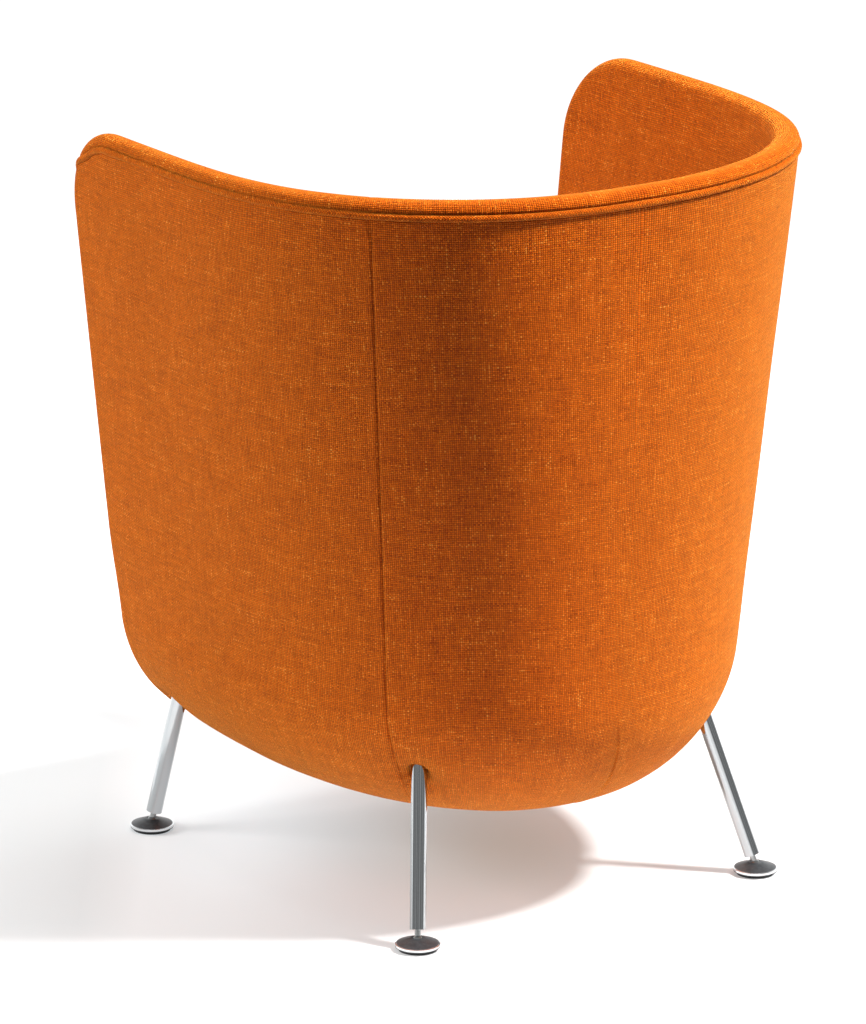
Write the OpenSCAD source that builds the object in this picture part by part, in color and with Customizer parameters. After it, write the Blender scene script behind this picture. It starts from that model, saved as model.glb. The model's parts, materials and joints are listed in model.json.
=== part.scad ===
// Upholstered tub chair on four splayed chromed legs with tilting, levelling glides.
// Millimetres. +Z is up, -Y is the front, +X is the left of a person who sits in the chair.
// The origin is on the floor, under the middle of the chair's box.

/* [Tub] */
// Width of the tub at its rim
tub_w = 635; // [590:5:680]
// Depth of the tub at its rim, from its widest line to the back
tub_back_d = 372; // [345:1:400]
// Depth of the curve that the arms follow to the front
tub_front_d = 512; // [470:2:560]
// Distance from the widest line to the front edges of the arms
arm_reach = 181; // [165:1:200]
// Height of the rim at the back
rim_h = 755; // [720:1:800]
// Fall of the rim from the back to the front of the arms
rim_fall = 5; // [0:1:20]
// Radius of the upper front corner of each arm
arm_corner_r = 92; // [75:1:110]
// Height of the underside above the floor
under_h = 92; // [85:1:100]
// Radius between the sides and the underside
under_r = 140; // [125:1:145]
// Lean of the sides, in degrees
side_lean = 5.1; // [3:0.1:6]
// Lean of the back, in degrees
back_lean = 2.2; // [0.5:0.1:3]
// Squareness of the plan curve at the rim
rim_square = 2.77; // [2.4:0.01:3]
// Squareness of the plan curve at the underside
under_square = 2.12; // [2:0.01:2.3]

/* [Wall] */
// Radius of the rolled rim, half the wall's thickness there
roll_r = 12; // [11.5:0.1:13]
// Thickness of the covers
cover_t = 1.5; // [1:0.1:1.8]
// Thickness of the outer wadding
wadding_t = 3.3; // [2.5:0.1:3.5]
// Thickness of the moulded shell
shell_t = 6; // [4:0.5:6]
// Thickness of the padded side wall beside the seat
side_wall_t = 44; // [36:1:52]
// Thickness of the padded back wall behind the seat
back_wall_t = 60; // [50:1:70]
// Diameter of the welt
welt_d = 7; // [6:0.1:8]

/* [Seat] */
// Height of the seat's crown at rest
seat_h = 436; // [420:1:455]
// Rise of the crown over the seat's edges
seat_crown = 24; // [12:1:30]
// Radius of the seat's upper edge
seat_edge_r = 30; // [22:1:32]
// Radius of the seat's front corners in plan
seat_corner_r = 38; // [34:1:50]
// Distance of the seat's front corners from the widest line
seat_front_d = 197; // [190:1:205]
// Bow of the seat's front past its corners
seat_bow = 12; // [4:1:16]
// Height of the seat board's upper face
board_h = 280; // [272:1:290]
// Thickness of the seat board
board_t = 18; // [15:1:21]
// Distance of the opening in the seat board in from the sides of the rim
board_hole_in = 162.5; // [159.5:0.5:177.5]
// Distance from the widest line to the rear edge of that opening
board_hole_back = 172; // [150:2:176]
// Distance from the widest line to the front edge of that opening
board_hole_front = 92; // [80:2:94]
// Width of a webbing strap
strap_w = 50; // [40:1:54]
// Thickness of a webbing strap
strap_t = 2; // [1.5:0.1:2.5]
// Thickness of the felt pad on the webbing
felt_t = 5; // [3:0.5:5.5]
// Thickness of the front board
front_board_t = 12; // [9:1:12]
// Thickness of the front pad
front_pad_t = 9; // [6:1:10]

/* [Legs] */
// Diameter of the leg tubes
leg_d = 16; // [14:0.5:17]
// Wall of the leg tubes
leg_wall = 1.5; // [1.2:0.1:1.8]
// Distance of the front glides in from the sides of the rim
front_foot_in = 83.5; // [78:0.5:89]
// Distance of the front glides behind the front edges of the arms
front_foot_back = 23; // [21:1:31]
// Lean of the front legs, in degrees
front_leg_lean = 12.6; // [11:0.1:14]
// Distance of the rear glides in from the sides of the rim
rear_foot_in = 115; // [110:0.5:121]
// Distance of the rear glides ahead of the back of the rim
rear_foot_ahead = 82; // [76:1:88]
// Lean of the rear legs, in degrees
rear_leg_lean = 20.7; // [19:0.1:22]
// Height of the leg tubes' lower ends above the floor
leg_end_h = 19; // [18.5:0.5:22]
// Width of a socket plate
plate_w = 50; // [46:1:54]
// Thickness of a socket plate
plate_t = 4; // [3:0.5:5]
// Wall of the socket's sleeve
sleeve_wall = 2.5; // [2:0.1:3]
// Length of the socket's sleeve
sleeve_l = 46; // [36:1:50]

/* [Glides] */
// Diameter of the glide's rim
glide_d = 44; // [40:0.5:48]
// Height of the glide's rim band
glide_band_h = 3; // [2:0.1:3.2]
// Height of the ball's middle above the floor
ball_h = 9; // [8.8:0.1:9.2]
// Diameter of the ball
ball_d = 10; // [9.6:0.1:10]
// Height of the glide's cone over the ball's middle
cone_top_h = 2.8; // [2.6:0.1:3]
// Diameter of the cone's flat top
cone_top_d = 14; // [13:0.5:15]
// Diameter of the stem's neck
neck_d = 6; // [5:0.1:6]
// Diameter of the threaded stem
stem_d = 8; // [7:0.5:8]
// Length of the threaded stem
stem_l = 30; // [26:1:34]
// Length of the threaded insert in the tube
insert_l = 25; // [20:1:28]
// Diameter of the floor pad
pad_d = 38; // [34:0.5:39]
// Thickness of the floor pad
pad_t = 3; // [2.5:0.1:3]

/* [Hidden] */

$fn = 48;
// How far cuts run past the faces they cut
over = 1;
// Gap between layers that lie on each other
layer_gap = 0.1;
// Gap between soft pieces that lie beside each other
soft_gap = 0.4;

// Layers of the wall, as distances inward from the outer face
welt_gap = layer_gap;
welt_level = roll_r + welt_gap + welt_d / 2;
cover_level = roll_r + welt_d + 2 * welt_gap;
shell_out = cover_t + wadding_t + 2 * layer_gap;
shell_in = shell_out + shell_t;
core_r = roll_r - cover_t;
foam_r = core_r - layer_gap;

// Places of the wall's columns and rows
roll_angles = [6, 33, 62];
corner_shares = [0.33, 0.64, 1];
side_shares = [0.5, 0];
seam_angle = 47.3;
back_angles = [78, 63, seam_angle, 35, 23, 11.5, 0];
seam_index = 2;
band = len(roll_angles) + 2 + len(corner_shares);
mid_col = band + len(side_shares) + len(back_angles) - 1;
last_col = 2 * mid_col;
seam_col = band + len(side_shares) + seam_index;
under_angles = [22.5, 45, 67.5, 90];
round_h = under_h + under_r;
wall_rows = [seat_h, board_h + over, round_h];
flat_row = band + len(wall_rows) + len(under_angles);
deck_row = band + 1;
bridge_cols = len(roll_angles) + 3;
return_cols = len(roll_angles) + 2;
side_blend = 110;

// The chair stands with the middle of its box over the origin
back_reach = tub_back_d - tan(back_lean) * welt_level + welt_d / 2 - welt_depth();
front_reach = seat_front_d + seat_bow;
plan_y = (front_reach - back_reach) / 2;

// Depth of the welt's middle behind the outer face
function welt_depth() = shell_out - layer_gap - welt_d / 2;

function back_angle(c) = back_angles[c - band - len(side_shares)];

// Distance of a band line from the free edge, for a wall whose edge has the radius r
function level(k, r, start) =
    k < len(roll_angles) ? roll_r - r * cos(roll_angles[k]) :
    k == len(roll_angles) ? roll_r + start :
    k == len(roll_angles) + 1 ? cover_level :
    arm_corner_r * corner_shares[k - len(roll_angles) - 2];

// Half the wall's thickness at a band line
function rise(k, r) = k < len(roll_angles) ? r * sin(roll_angles[k]) : r;

// Square corner of the band bent into the arm's round corner
function bend(u, w) =
    (u >= arm_corner_r || w >= arm_corner_r) ? [u, w] :
    let (a = 1 - u / arm_corner_r, b = 1 - w / arm_corner_r, m = max(a, b))
    let (g = a >= b ? 45 * b / a : 90 - 45 * a / b)
    [arm_corner_r * (1 - m * cos(g)), arm_corner_r * (1 - m * sin(g))];

function rim_at(y) = rim_h - rim_fall * (tub_back_d - y) / (tub_back_d + arm_reach);
function half_w(z) = tub_w / 2 - tan(side_lean) * (rim_h - z);
function back_d(z) = tub_back_d - tan(back_lean) * (rim_h - z);
function front_d(z) = tub_front_d - tan(back_lean) * (rim_h - z);
function square_at(z) = rim_square - (rim_square - under_square) * (rim_h - z) / (rim_h - under_h);

// A point of the arm at the place y, or of the back at a curve angle, moved inward by d
function arm_pt(y, z, d) =
    let (n = square_at(z), b = front_d(z) - d)
    [(half_w(z) - d) * pow(1 - pow(abs(y) / b, n), 1 / n), y, z];
function back_pt(t, z, d) =
    let (n = square_at(z))
    [(half_w(z) - d) * pow(sin(t), 2 / n), (back_d(z) - d) * pow(cos(t), 2 / n), z];

// Height and inward move of a row of the wall whose depth is d
function row_h(r, d) =
    r < band + len(wall_rows) ? wall_rows[r - band] :
    under_h + d + (under_r - d) * (1 - sin(under_angles[min(r, flat_row - 1) - band - len(wall_rows)]));
function row_d(r, d) =
    r < band + len(wall_rows) ? d :
    d + (under_r - d) * (1 - cos(under_angles[min(r, flat_row - 1) - band - len(wall_rows)]));

// Extra padding on the inner side of the wall
function wall_t_at(c) =
    c < band + len(side_shares) ? side_wall_t :
    side_wall_t + (back_wall_t - side_wall_t) * pow(cos(back_angle(c)), 2);
function padding(c, e, z) =
    (wall_t_at(c) - 2 * roll_r)
    * min(1, max(0, (rim_h - roll_r - z) / (rim_h - roll_r - seat_h)))
    * (c > band - 1 ? 1 : min(1, max(0, (e - roll_r) / side_blend)));

// A point of the wall: column c of one half, row r, side -1 outside or +1 inside.
// A sheet is [side, r, start, depth, padded]: with depth undef it follows the roll of radius r.
function wall_pt(c, r, sheet) =
    let (k = min(c, r), cw = min(c, band - 1), rw = min(r, band - 1))
    let (u = level(cw, sheet[1], sheet[2]), w = level(rw, sheet[1], sheet[2]))
    let (e = level(min(k, band - 1), sheet[1], sheet[2]))
    let (f = bend(u, w))
    let (front = c < band, y0 = front ? -arm_reach + f[0] : -side_y(c))
    let (depth0 = is_undef(sheet[3]) ? roll_r + sheet[0] * rise(min(k, band - 1), sheet[1]) : sheet[3])
    let (z0 = r < band ? rim_at(c > band + 1 ? tub_back_d : y0) - (front ? f[1] : w) : row_h(r, depth0))
    let (depth = depth0 + (sheet[4] ? padding(c, e, z0) : 0))
    let (z = r < band ? z0 : row_h(r, depth), d = r < band ? depth : row_d(r, depth))
    let (p = c > band + 1 ? back_pt(back_angle(c), z, d) : arm_pt(y0, z, d))
    r == flat_row ? [0, p[1], p[2]] : p;

// Places of the columns between the arm's corner and the widest line
function side_y(c) = c > band + 1 ? 0 : (arm_reach - arm_corner_r) * side_shares[min(c, band + 1) - band];

function half_col(i) = i <= mid_col ? i : last_col - i;
function placed(p, s) = [s * p[0], p[1] + plan_y, p[2]];
function sheet_pts(sheet) =
    [for (i = [0 : last_col]) for (r = [0 : flat_row])
        placed(wall_pt(half_col(i), r, sheet), i <= mid_col ? 1 : -1)];
function pid(s, i, r) =
    s * (last_col + 1) * (flat_row + 1)
    + (r == flat_row && i > mid_col ? last_col - i : i) * (flat_row + 1) + r;

// Cells of the wall: each has a half column, a band index and four edges
function half_cell(i) = i < mid_col ? i : last_col - 1 - i;
function cell_band(i, r) = min(half_cell(i), r);
function cell_real(i, r) =
    i >= 0 && i < last_col && r >= 0 && r < flat_row
    && (r < flat_row - 1 || half_cell(i) < bridge_cols);
function edges(i, r) = [
    [[i, r], [i + 1, r], [i, r - 1]],
    [[i + 1, r], [i + 1, r + 1], [i + 1, r]],
    [[i + 1, r + 1], [i, r + 1], r == flat_row - 1 ? [last_col - 1 - i, r] : [i, r + 1]],
    [[i, r + 1], [i, r], [i - 1, r]]
];
function face(s, i, r, out) =
    let (a = pid(s, i, r), b = pid(s, i + 1, r), c = pid(s, i + 1, r + 1), d = pid(s, i, r + 1))
    out ? [[a, b, c], [a, c, d]] : [[a, c, b], [a, d, c]];
function strip(s, t, p, q) =
    let (a = pid(s, q[0], q[1]), b = pid(s, p[0], p[1]), c = pid(t, p[0], p[1]), d = pid(t, q[0], q[1]))
    [[a, b, c], [a, c, d]];

// A layer with an outer and an inner sheet, over the cells that fit(i, r) allows
module layer(outer, inner, fit) {
    cells = [for (i = [0 : last_col - 1]) for (r = [0 : flat_row - 1]) if (cell_real(i, r) && fit(i, r)) [i, r]];
    polyhedron(
        points = concat(sheet_pts(outer), sheet_pts(inner)),
        faces = concat(
            [for (q = cells) each face(0, q[0], q[1], true)],
            [for (q = cells) each face(1, q[0], q[1], false)],
            [for (q = cells) for (g = edges(q[0], q[1]))
                if (!(cell_real(g[2][0], g[2][1]) && fit(g[2][0], g[2][1]))) each strip(0, 1, g[0], g[1])]
        )
    );
}

// A thin cover that wraps the free edge: outside it fills the cells of wrap, inside those of fill
module wrapped_layer(r_out, r_in, wrap, fill) {
    outside = [for (i = [0 : last_col - 1]) for (r = [0 : flat_row - 1]) if (cell_real(i, r) && wrap(i, r)) [i, r]];
    inside = [for (i = [0 : last_col - 1]) for (r = [0 : flat_row - 1]) if (cell_real(i, r) && fill(i, r)) [i, r]];
    polyhedron(
        points = concat(
            sheet_pts([-1, r_out, 0, undef, false]), sheet_pts([1, r_out, 0, undef, true]),
            sheet_pts([-1, r_in, 0, undef, false]), sheet_pts([1, r_in, 0, undef, true])
        ),
        faces = concat(
            [for (q = outside) each face(0, q[0], q[1], true)],
            [for (q = inside) each face(1, q[0], q[1], false)],
            [for (q = outside) each face(2, q[0], q[1], false)],
            [for (q = inside) each face(3, q[0], q[1], true)],
            [for (q = outside) for (g = edges(q[0], q[1])) let (n = g[2])
                if (!(cell_real(n[0], n[1]) && wrap(n[0], n[1])))
                    each (cell_real(n[0], n[1]) ? strip(0, 2, g[0], g[1]) :
                        concat(strip(0, 1, g[0], g[1]), strip(3, 2, g[0], g[1])))],
            [for (q = inside) for (g = edges(q[0], q[1])) let (n = g[2])
                if (cell_real(n[0], n[1]) && !fill(n[0], n[1])) each strip(3, 1, g[0], g[1])]
        )
    );
}

// Which cells each layer covers
bare = len(roll_angles);
in_roll = function (i, r) cell_band(i, r) < bare;
in_core = function (i, r) cell_band(i, r) >= bare;
in_skin = function (i, r) cell_band(i, r) > bare;
in_back = function (i, r) in_skin(i, r) && i >= seam_col && i < last_col - seam_col;
in_left = function (i, r) in_skin(i, r) && i < seam_col;
in_right = function (i, r) in_skin(i, r) && i >= last_col - seam_col;
in_lining = function (i, r) r < deck_row || half_cell(i) < return_cols;
in_padding = function (i, r) in_core(i, r) && in_lining(i, r);

function flat_sheet(d) = [0, roll_r, layer_gap, d, false];
function unit(v) = v / norm(v);

// Legs: each has the place of its glide and the lean of its tube
front_foot_x = tub_w / 2 - front_foot_in;
front_foot_y = arm_reach - front_foot_back;
rear_foot_x = tub_w / 2 - rear_foot_in;
rear_foot_y = tub_back_d - rear_foot_ahead;
front_run = norm([front_foot_x, front_foot_y]);
rear_run = norm([rear_foot_x, rear_foot_y]);
function leg_foot(front, side) = [side * (front ? front_foot_x : rear_foot_x), front ? -front_foot_y : rear_foot_y, 0];
function leg_turn(front, side) = let (p = leg_foot(front, side)) atan2(p[1], p[0]);
function leg_lean(front) = front ? front_leg_lean : rear_leg_lean;
leg_end = (leg_end_h - ball_h) / cos(front_leg_lean);

// Frame of a leg: its origin is the ball's middle and +Z runs up the tube
module leg_frame(front, side) {
    p = leg_foot(front, side);
    translate([p[0], p[1] + plan_y, ball_h])
        rotate([0, 0, leg_turn(front, side)])
            rotate([0, -leg_lean(front), 0])
                children();
}
// Frame of a glide: upright, over its place on the floor, with +X away from the chair's middle
module glide_frame(front, side) {
    p = leg_foot(front, side);
    translate([p[0], p[1] + plan_y, 0]) rotate([0, 0, leg_turn(front, side)]) children();
}
module all_legs() {
    for (front = [true, false]) for (side = [-1, 1]) leg_frame(front, side) children();
}

plate_under = board_h - board_t - plate_t;
// Distance along a leg from the ball's middle to the height z
function leg_at(front, z) = (z - ball_h) / cos(leg_lean(front));
function leg_top(front) = leg_at(front, plate_under) - leg_d * tan(leg_lean(front));
// Where a socket plate lies: over the leg, moved to the chair's middle
plate_shift = 12;
function plate_at(front, side) =
    let (p = leg_foot(front, side), run = norm([p[0], p[1]]))
    let (q = 1 - (tan(leg_lean(front)) * (plate_under - ball_h) + plate_shift) / run)
    [p[0] * q, p[1] * q + plan_y];
// Places of a plate's four screws, set in from its edges
plate_screw_in = 7;
plate_screw = plate_w / 2 - plate_screw_in;

// Holes that the legs need in the layers of the wall
leg_hole_gap = 1.5;
module leg_holes(gap) {
    all_legs() cylinder(d = leg_d + 2 * gap, h = round_h);
}

module tub_shell() {
    color("#3a3a3c") difference() {
        layer(flat_sheet(shell_out), flat_sheet(shell_in), in_core);
        leg_holes(leg_hole_gap);
    }
}
module outer_wadding() {
    color("#e8e4da") difference() {
        layer(flat_sheet(cover_t + layer_gap), flat_sheet(shell_out - layer_gap), in_skin);
        leg_holes(leg_hole_gap);
    }
}
module outer_cover_left() {
    color("#c9571c") difference() {
        layer(flat_sheet(0), flat_sheet(cover_t), in_left);
        leg_holes(leg_hole_gap);
    }
}
module outer_cover_back() {
    color("#bb4f1a") difference() {
        layer(flat_sheet(0), flat_sheet(cover_t), in_back);
        leg_holes(leg_hole_gap);
    }
}
module outer_cover_right() {
    color("#c9571c") difference() {
        layer(flat_sheet(0), flat_sheet(cover_t), in_right);
        leg_holes(leg_hole_gap);
    }
}
module edge_roll() {
    color("#e9e2c8")
        layer([-1, foam_r, 0, undef, false], [1, foam_r, 0, undef, false], in_roll);
}
module inner_foam() {
    color("#efe7c4")
        layer(flat_sheet(shell_in + layer_gap), [1, foam_r, layer_gap, undef, true], in_padding);
}
module inner_cover() {
    color("#d2601f") wrapped_layer(roll_r, core_r, in_roll, in_lining);
}

// The welt: a cord along the upper edge of the outer cover, round the whole free edge
welt_sides = 8;
function welt_mid(c, r, depth) =
    let (u = c < 0 ? welt_level : level(min(c, band - 1), roll_r, layer_gap))
    let (w = r < 0 ? welt_level : level(min(r, band - 1), roll_r, layer_gap))
    let (f = bend(u, w), front = c < band, y = front ? f[0] - arm_reach : -side_y(c))
    let (z = r >= band ? row_h(r, depth) : rim_at(c > band + 1 ? tub_back_d : y) - (front ? f[1] : w))
    let (d = r >= band ? row_d(r, depth) : depth)
    let (p = c > band + 1 ? back_pt(back_angle(c), z, d) : arm_pt(y, z, d))
    p;
welt_half = concat(
    [for (r = [flat_row - 1 : -1 : bare + 1]) [-1, r]],
    [for (c = [bare + 1 : mid_col - 1]) [c, -1]]
);
function welt_line(depth) = concat(
    [for (q = welt_half) placed(welt_mid(q[0], q[1], depth), 1)],
    [placed(welt_mid(mid_col, -1, depth), 1)],
    [for (k = [len(welt_half) - 1 : -1 : 0]) placed(welt_mid(welt_half[k][0], welt_half[k][1], depth), -1)]
);
module welt_cord() {
    mids = welt_line(welt_depth());
    outs = welt_line(welt_depth() - welt_d);
    n = len(mids);
    rings = [for (k = [0 : n - 1])
        let (t = unit(unit(mids[(k + 1) % n] - mids[k]) + unit(mids[k] - mids[(k + n - 1) % n])))
        let (b = unit(cross(t, outs[k] - mids[k])), o = cross(b, t))
        for (s = [0 : welt_sides - 1])
            let (a = 360 * (s + 0.5) / welt_sides)
            mids[k] + (o * cos(a) + b * sin(a)) * welt_d / 2];
    color("#c9571c") polyhedron(
        points = rings,
        faces = [for (k = [0 : n - 1]) for (s = [0 : welt_sides - 1])
            let (k2 = (k + 1) % n, s2 = (s + 1) % welt_sides)
            let (p = k * welt_sides + s, q = k * welt_sides + s2, u = k2 * welt_sides + s2, v = k2 * welt_sides + s)
            each [[p, q, u], [p, u, v]]]
    );
}

// The seat cushion: rings that follow the lining, the front corners and the bowed front
seat_low = board_h + 2 * strap_t + felt_t + 4 * layer_gap;
seat_edge_h = seat_h - seat_crown;
seat_first_col = return_cols;
function seat_side(c, z, d) =
    let (t = 2 * roll_r + padding(c, level(min(c, band - 1), roll_r, 0), z) + soft_gap + d)
    c > band + 1 ? back_pt(back_angle(c), z, t) :
    arm_pt(c < band ? level(c, roll_r, 0) - arm_reach : -side_y(c), z, t);
seat_corner_angles = [0, 30, 60, 90];
seat_front_shares = [0.66, 0.33];
function seat_half(z, d) =
    let (w = seat_side(seat_first_col, z, d)[0], r = seat_corner_r - d)
    let (cx = w - r, cy = -seat_front_d + seat_corner_r)
    concat(
        [for (c = [mid_col : -1 : seat_first_col]) seat_side(c, z, d)],
        [for (a = seat_corner_angles) [cx + r * cos(a), cy - r * sin(a), z]],
        [for (s = seat_front_shares) [cx * s, -seat_front_d + d - seat_bow * (1 - s * s), z]]
    );
function seat_ring(z, d) =
    let (h = seat_half(z, d), n = len(h))
    concat(
        [for (p = h) placed(p, 1)],
        [placed([0, -seat_front_d + d - seat_bow, z], 1)],
        [for (k = [n - 1 : -1 : 1]) placed(h[k], -1)]
    );
function scaled_ring(ring, mid, s, z) = [for (p = ring) [mid[0] + (p[0] - mid[0]) * s, mid[1] + (p[1] - mid[1]) * s, z]];
// Rings of the cushion from its lower edge to its crown, all moved in by t
seat_crown_shares = [0.82, 0.6, 0.34];
function seat_rings(t) =
    let (edge = seat_edge_h - seat_edge_r)
    let (top = seat_ring(seat_edge_h - t, seat_edge_r + t))
    let (mid = [0, plan_y + (tub_back_d - back_wall_t - seat_front_d) / 2])
    concat(
        [seat_ring(seat_low, t + seat_lower_in)],
        [seat_ring(seat_low + seat_lower_in, t)],
        [seat_ring(edge, t)],
        [seat_ring(edge + seat_edge_r * sin(45) - t * sin(45), t + seat_edge_r * (1 - cos(45)))],
        [top],
        [for (s = seat_crown_shares) scaled_ring(top, mid, s, seat_edge_h - t + seat_crown * (1 - s * s))]
    );
seat_lower_in = 8;
function ring_faces(first, n, rows, out) =
    [for (j = [0 : rows - 2]) for (k = [0 : n - 1])
        let (a = first + j * n + k, b = first + j * n + (k + 1) % n)
        each (out ? [[a, b, b + n], [a, b + n, a + n]] : [[a, b + n, b], [a, a + n, b + n]])];
function cap_faces(first, n, tip, out) =
    [for (k = [0 : n - 1]) let (a = first + k, b = first + (k + 1) % n) out ? [a, b, tip] : [b, a, tip]];
function seat_mid(z) = [0, plan_y + (tub_back_d - back_wall_t - seat_front_d) / 2, z];

module seat_foam() {
    rings = seat_rings(cover_t + layer_gap);
    n = len(rings[0]);
    m = len(rings);
    pts = concat([for (g = rings) each g], [seat_mid(seat_h - cover_t - layer_gap)], [seat_mid(seat_low)]);
    color("#f1e8c0") polyhedron(
        points = pts,
        faces = concat(
            ring_faces(0, n, m, true),
            cap_faces((m - 1) * n, n, m * n, true),
            cap_faces(0, n, m * n + 1, false)
        )
    );
}
module seat_cover() {
    outer = seat_rings(0);
    inner = seat_rings(cover_t);
    n = len(outer[0]);
    m = len(outer);
    half = m * n + 1;
    pts = concat(
        [for (g = outer) each g], [seat_mid(seat_h)],
        [for (g = inner) each g], [seat_mid(seat_h - cover_t)]
    );
    color("#d2601f") polyhedron(
        points = pts,
        faces = concat(
            ring_faces(0, n, m, true),
            cap_faces((m - 1) * n, n, m * n, true),
            ring_faces(half, n, m, false),
            cap_faces(half + (m - 1) * n, n, half + m * n, false),
            [for (k = [0 : n - 1]) let (a = k, b = (k + 1) % n) each [[b, a, half + a], [b, half + a, half + b]]]
        )
    );
}

// The front below the cushion: a board, a pad and a cover with one outline
apron_clear = 4;
apron_gap = 0.2;
apron_back = arm_reach - front_cover_d();
apron_depth = 2 * roll_r + apron_clear;
function front_cover_d() = 27;
function apron_pt(z, d) = arm_pt(-(arm_reach - roll_r), z, d);
function apron_half(inset) =
    let (d = apron_depth + inset)
    concat(
        [[arm_pt(-(arm_reach - roll_r), seat_low - apron_gap - inset, d)[0], seat_low - apron_gap - inset]],
        [[arm_pt(-(arm_reach - roll_r), round_h, d)[0], round_h]],
        [for (a = under_angles)
            let (z = under_h + d + (under_r - d) * (1 - sin(a)))
            [arm_pt(-(arm_reach - roll_r), z, d + (under_r - d) * (1 - cos(a)))[0], z]]
    );
module apron_plate(inset, front, deep) {
    half = apron_half(inset);
    outline = concat(half, [for (k = [len(half) - 1 : -1 : 0]) [-half[k][0], half[k][1]]]);
    translate([0, plan_y - front + deep, 0]) rotate([90, 0, 0]) linear_extrude(height = deep) polygon(outline);
}
cover_front = arm_reach - 2 * cover_t;
pad_front = cover_front - cover_t - layer_gap;
board_front = pad_front - front_pad_t - layer_gap;
apron_in = cover_t + layer_gap;
front_screw_x = 90;
front_screw_gap = 0.05;
module front_cover() {
    deep = cover_t + layer_gap + front_pad_t + layer_gap + front_board_t;
    color("#c9571c") difference() {
        apron_plate(0, cover_front, deep);
        apron_plate(apron_in, pad_front + layer_gap, deep + over);
    }
}
module front_pad() {
    color("#f1e8c0") apron_plate(apron_in + layer_gap, pad_front, front_pad_t);
}
module front_screw_places(x) {
    for (k = [-1, 1])
        translate([k * x, plan_y - board_front, board_h - board_t / 2]) rotate([-90, 0, 0]) children();
}
module front_board() {
    color("#c8a878") difference() {
        apron_plate(apron_in + layer_gap, board_front, front_board_t);
        for (x = front_screws_x) front_screw_places(x) screw_hole(front_screw_gap);
    }
}
front_screws_x = [40, 120];

// A countersunk wood screw, head at z = 0 and point up +Z, and the hole that it needs
screw_d = 4;
screw_head_d = 8;
screw_head_h = 2.4;
screw_l = 34;
module wood_screw() {
    cylinder(d1 = screw_head_d, d2 = screw_d, h = screw_head_h);
    cylinder(d = screw_d, h = screw_l);
}
module screw_hole(gap) {
    translate([0, 0, -over]) cylinder(d = screw_head_d + 2 * gap, h = over);
    cylinder(d1 = screw_head_d + 2 * gap, d2 = screw_d + 2 * gap, h = screw_head_h);
    cylinder(d = screw_d + 2 * gap, h = screw_l + gap);
}
module front_screws() {
    color("#c9c9c4") for (x = front_screws_x) front_screw_places(x) wood_screw();
}

// The seat board, with its opening, and the blocks it rests on
board_gap = 0.3;
board_low = board_h - board_t;
hole_corner = 30;
board_hole_w = tub_w - 2 * board_hole_in;
board_front_d = board_front - front_board_t - apron_gap;
function board_half() = concat(
    [for (c = [mid_col : -1 : band - 1])
        let (d = shell_in + board_gap)
        c > band + 1 ? back_pt(back_angle(c), board_low, d) :
        arm_pt(c < band ? arm_corner_r - arm_reach : -side_y(c), board_low, d)],
    [arm_pt(-board_front_d, board_low, shell_in + board_gap + board_side_in)]
);
// The board steps in past the padded return behind the front
board_side_in = side_wall_t - shell_in;
module board_hole() {
    w = board_hole_w / 2;
    polygon([
        [w, board_hole_back - hole_corner], [w - hole_corner, board_hole_back],
        [hole_corner - w, board_hole_back], [-w, board_hole_back - hole_corner],
        [-w, hole_corner - board_hole_front], [hole_corner - w, -board_hole_front],
        [w - hole_corner, -board_hole_front], [w, hole_corner - board_hole_front]
    ]);
}
block_l = 60;
block_t = 24;
block_h = 26;
block_side_y = [-50, 60];
block_back_x = 45;
// Places of the blocks: middle of the outer face and the turn that faces the wall
function block_places() =
    let (z = board_low - block_h, d = shell_in + 2 * board_gap)
    let (x = back_pt(back_angles[0], z, d + row_slack)[0], y = back_pt(back_angles[len(back_angles) - 2], z, d + row_slack)[1])
    concat(
        [for (s = [-1, 1]) for (b = block_side_y) [s * x, b, s > 0 ? 0 : 180]],
        [for (s = [-1, 1]) [s * block_back_x, y, 90]]
    );
row_slack = 5;
module at_blocks() {
    for (b = block_places()) translate([b[0], b[1] + plan_y, 0]) rotate([0, 0, b[2]]) children();
}
module board_screw_places() {
    at_blocks() translate([-block_t / 2, 0, board_h]) rotate([180, 0, 0]) children();
}
module tee_places() {
    for (front = [true, false]) for (side = [-1, 1]) let (p = plate_at(front, side))
        translate([p[0], p[1], 0]) rotate([0, 0, leg_turn(front, side)])
            for (a = [-1, 1]) for (b = [-1, 1]) translate([a * plate_screw, b * plate_screw, 0]) children();
}
bolt_d = 5;
bolt_head_d = 9;
bolt_head_h = 3;
tee_d = 7;
tee_flange_d = 13;
tee_flange_t = 1;
fit_gap = 0.05;
module seat_board() {
    half = board_half();
    outline = concat([for (p = half) [p[0], p[1]]], [for (k = [len(half) - 1 : -1 : 1]) [-half[k][0], half[k][1]]]);
    color("#d0b184") difference() {
        translate([0, plan_y, board_low]) linear_extrude(height = board_t) difference() {
            polygon(outline);
            board_hole();
        }
        board_screw_places() screw_hole(fit_gap);
        for (x = front_screws_x) front_screw_places(x) screw_hole(fit_gap);
        tee_places() translate([0, 0, board_low - over]) cylinder(d = tee_d + 2 * fit_gap, h = board_t + 2 * over);
        tee_places() translate([0, 0, board_h - tee_flange_t - fit_gap])
            cylinder(d = tee_flange_d + 2 * fit_gap, h = tee_flange_t + over);
    }
}
module ledge_blocks() {
    color("#d9bf92") difference() {
        at_blocks() translate([-block_t, -block_l / 2, board_low - block_h]) cube([block_t, block_l, block_h]);
        board_screw_places() screw_hole(fit_gap);
    }
}
module board_screws() {
    color("#c9c9c4") board_screw_places() wood_screw();
}
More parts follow.
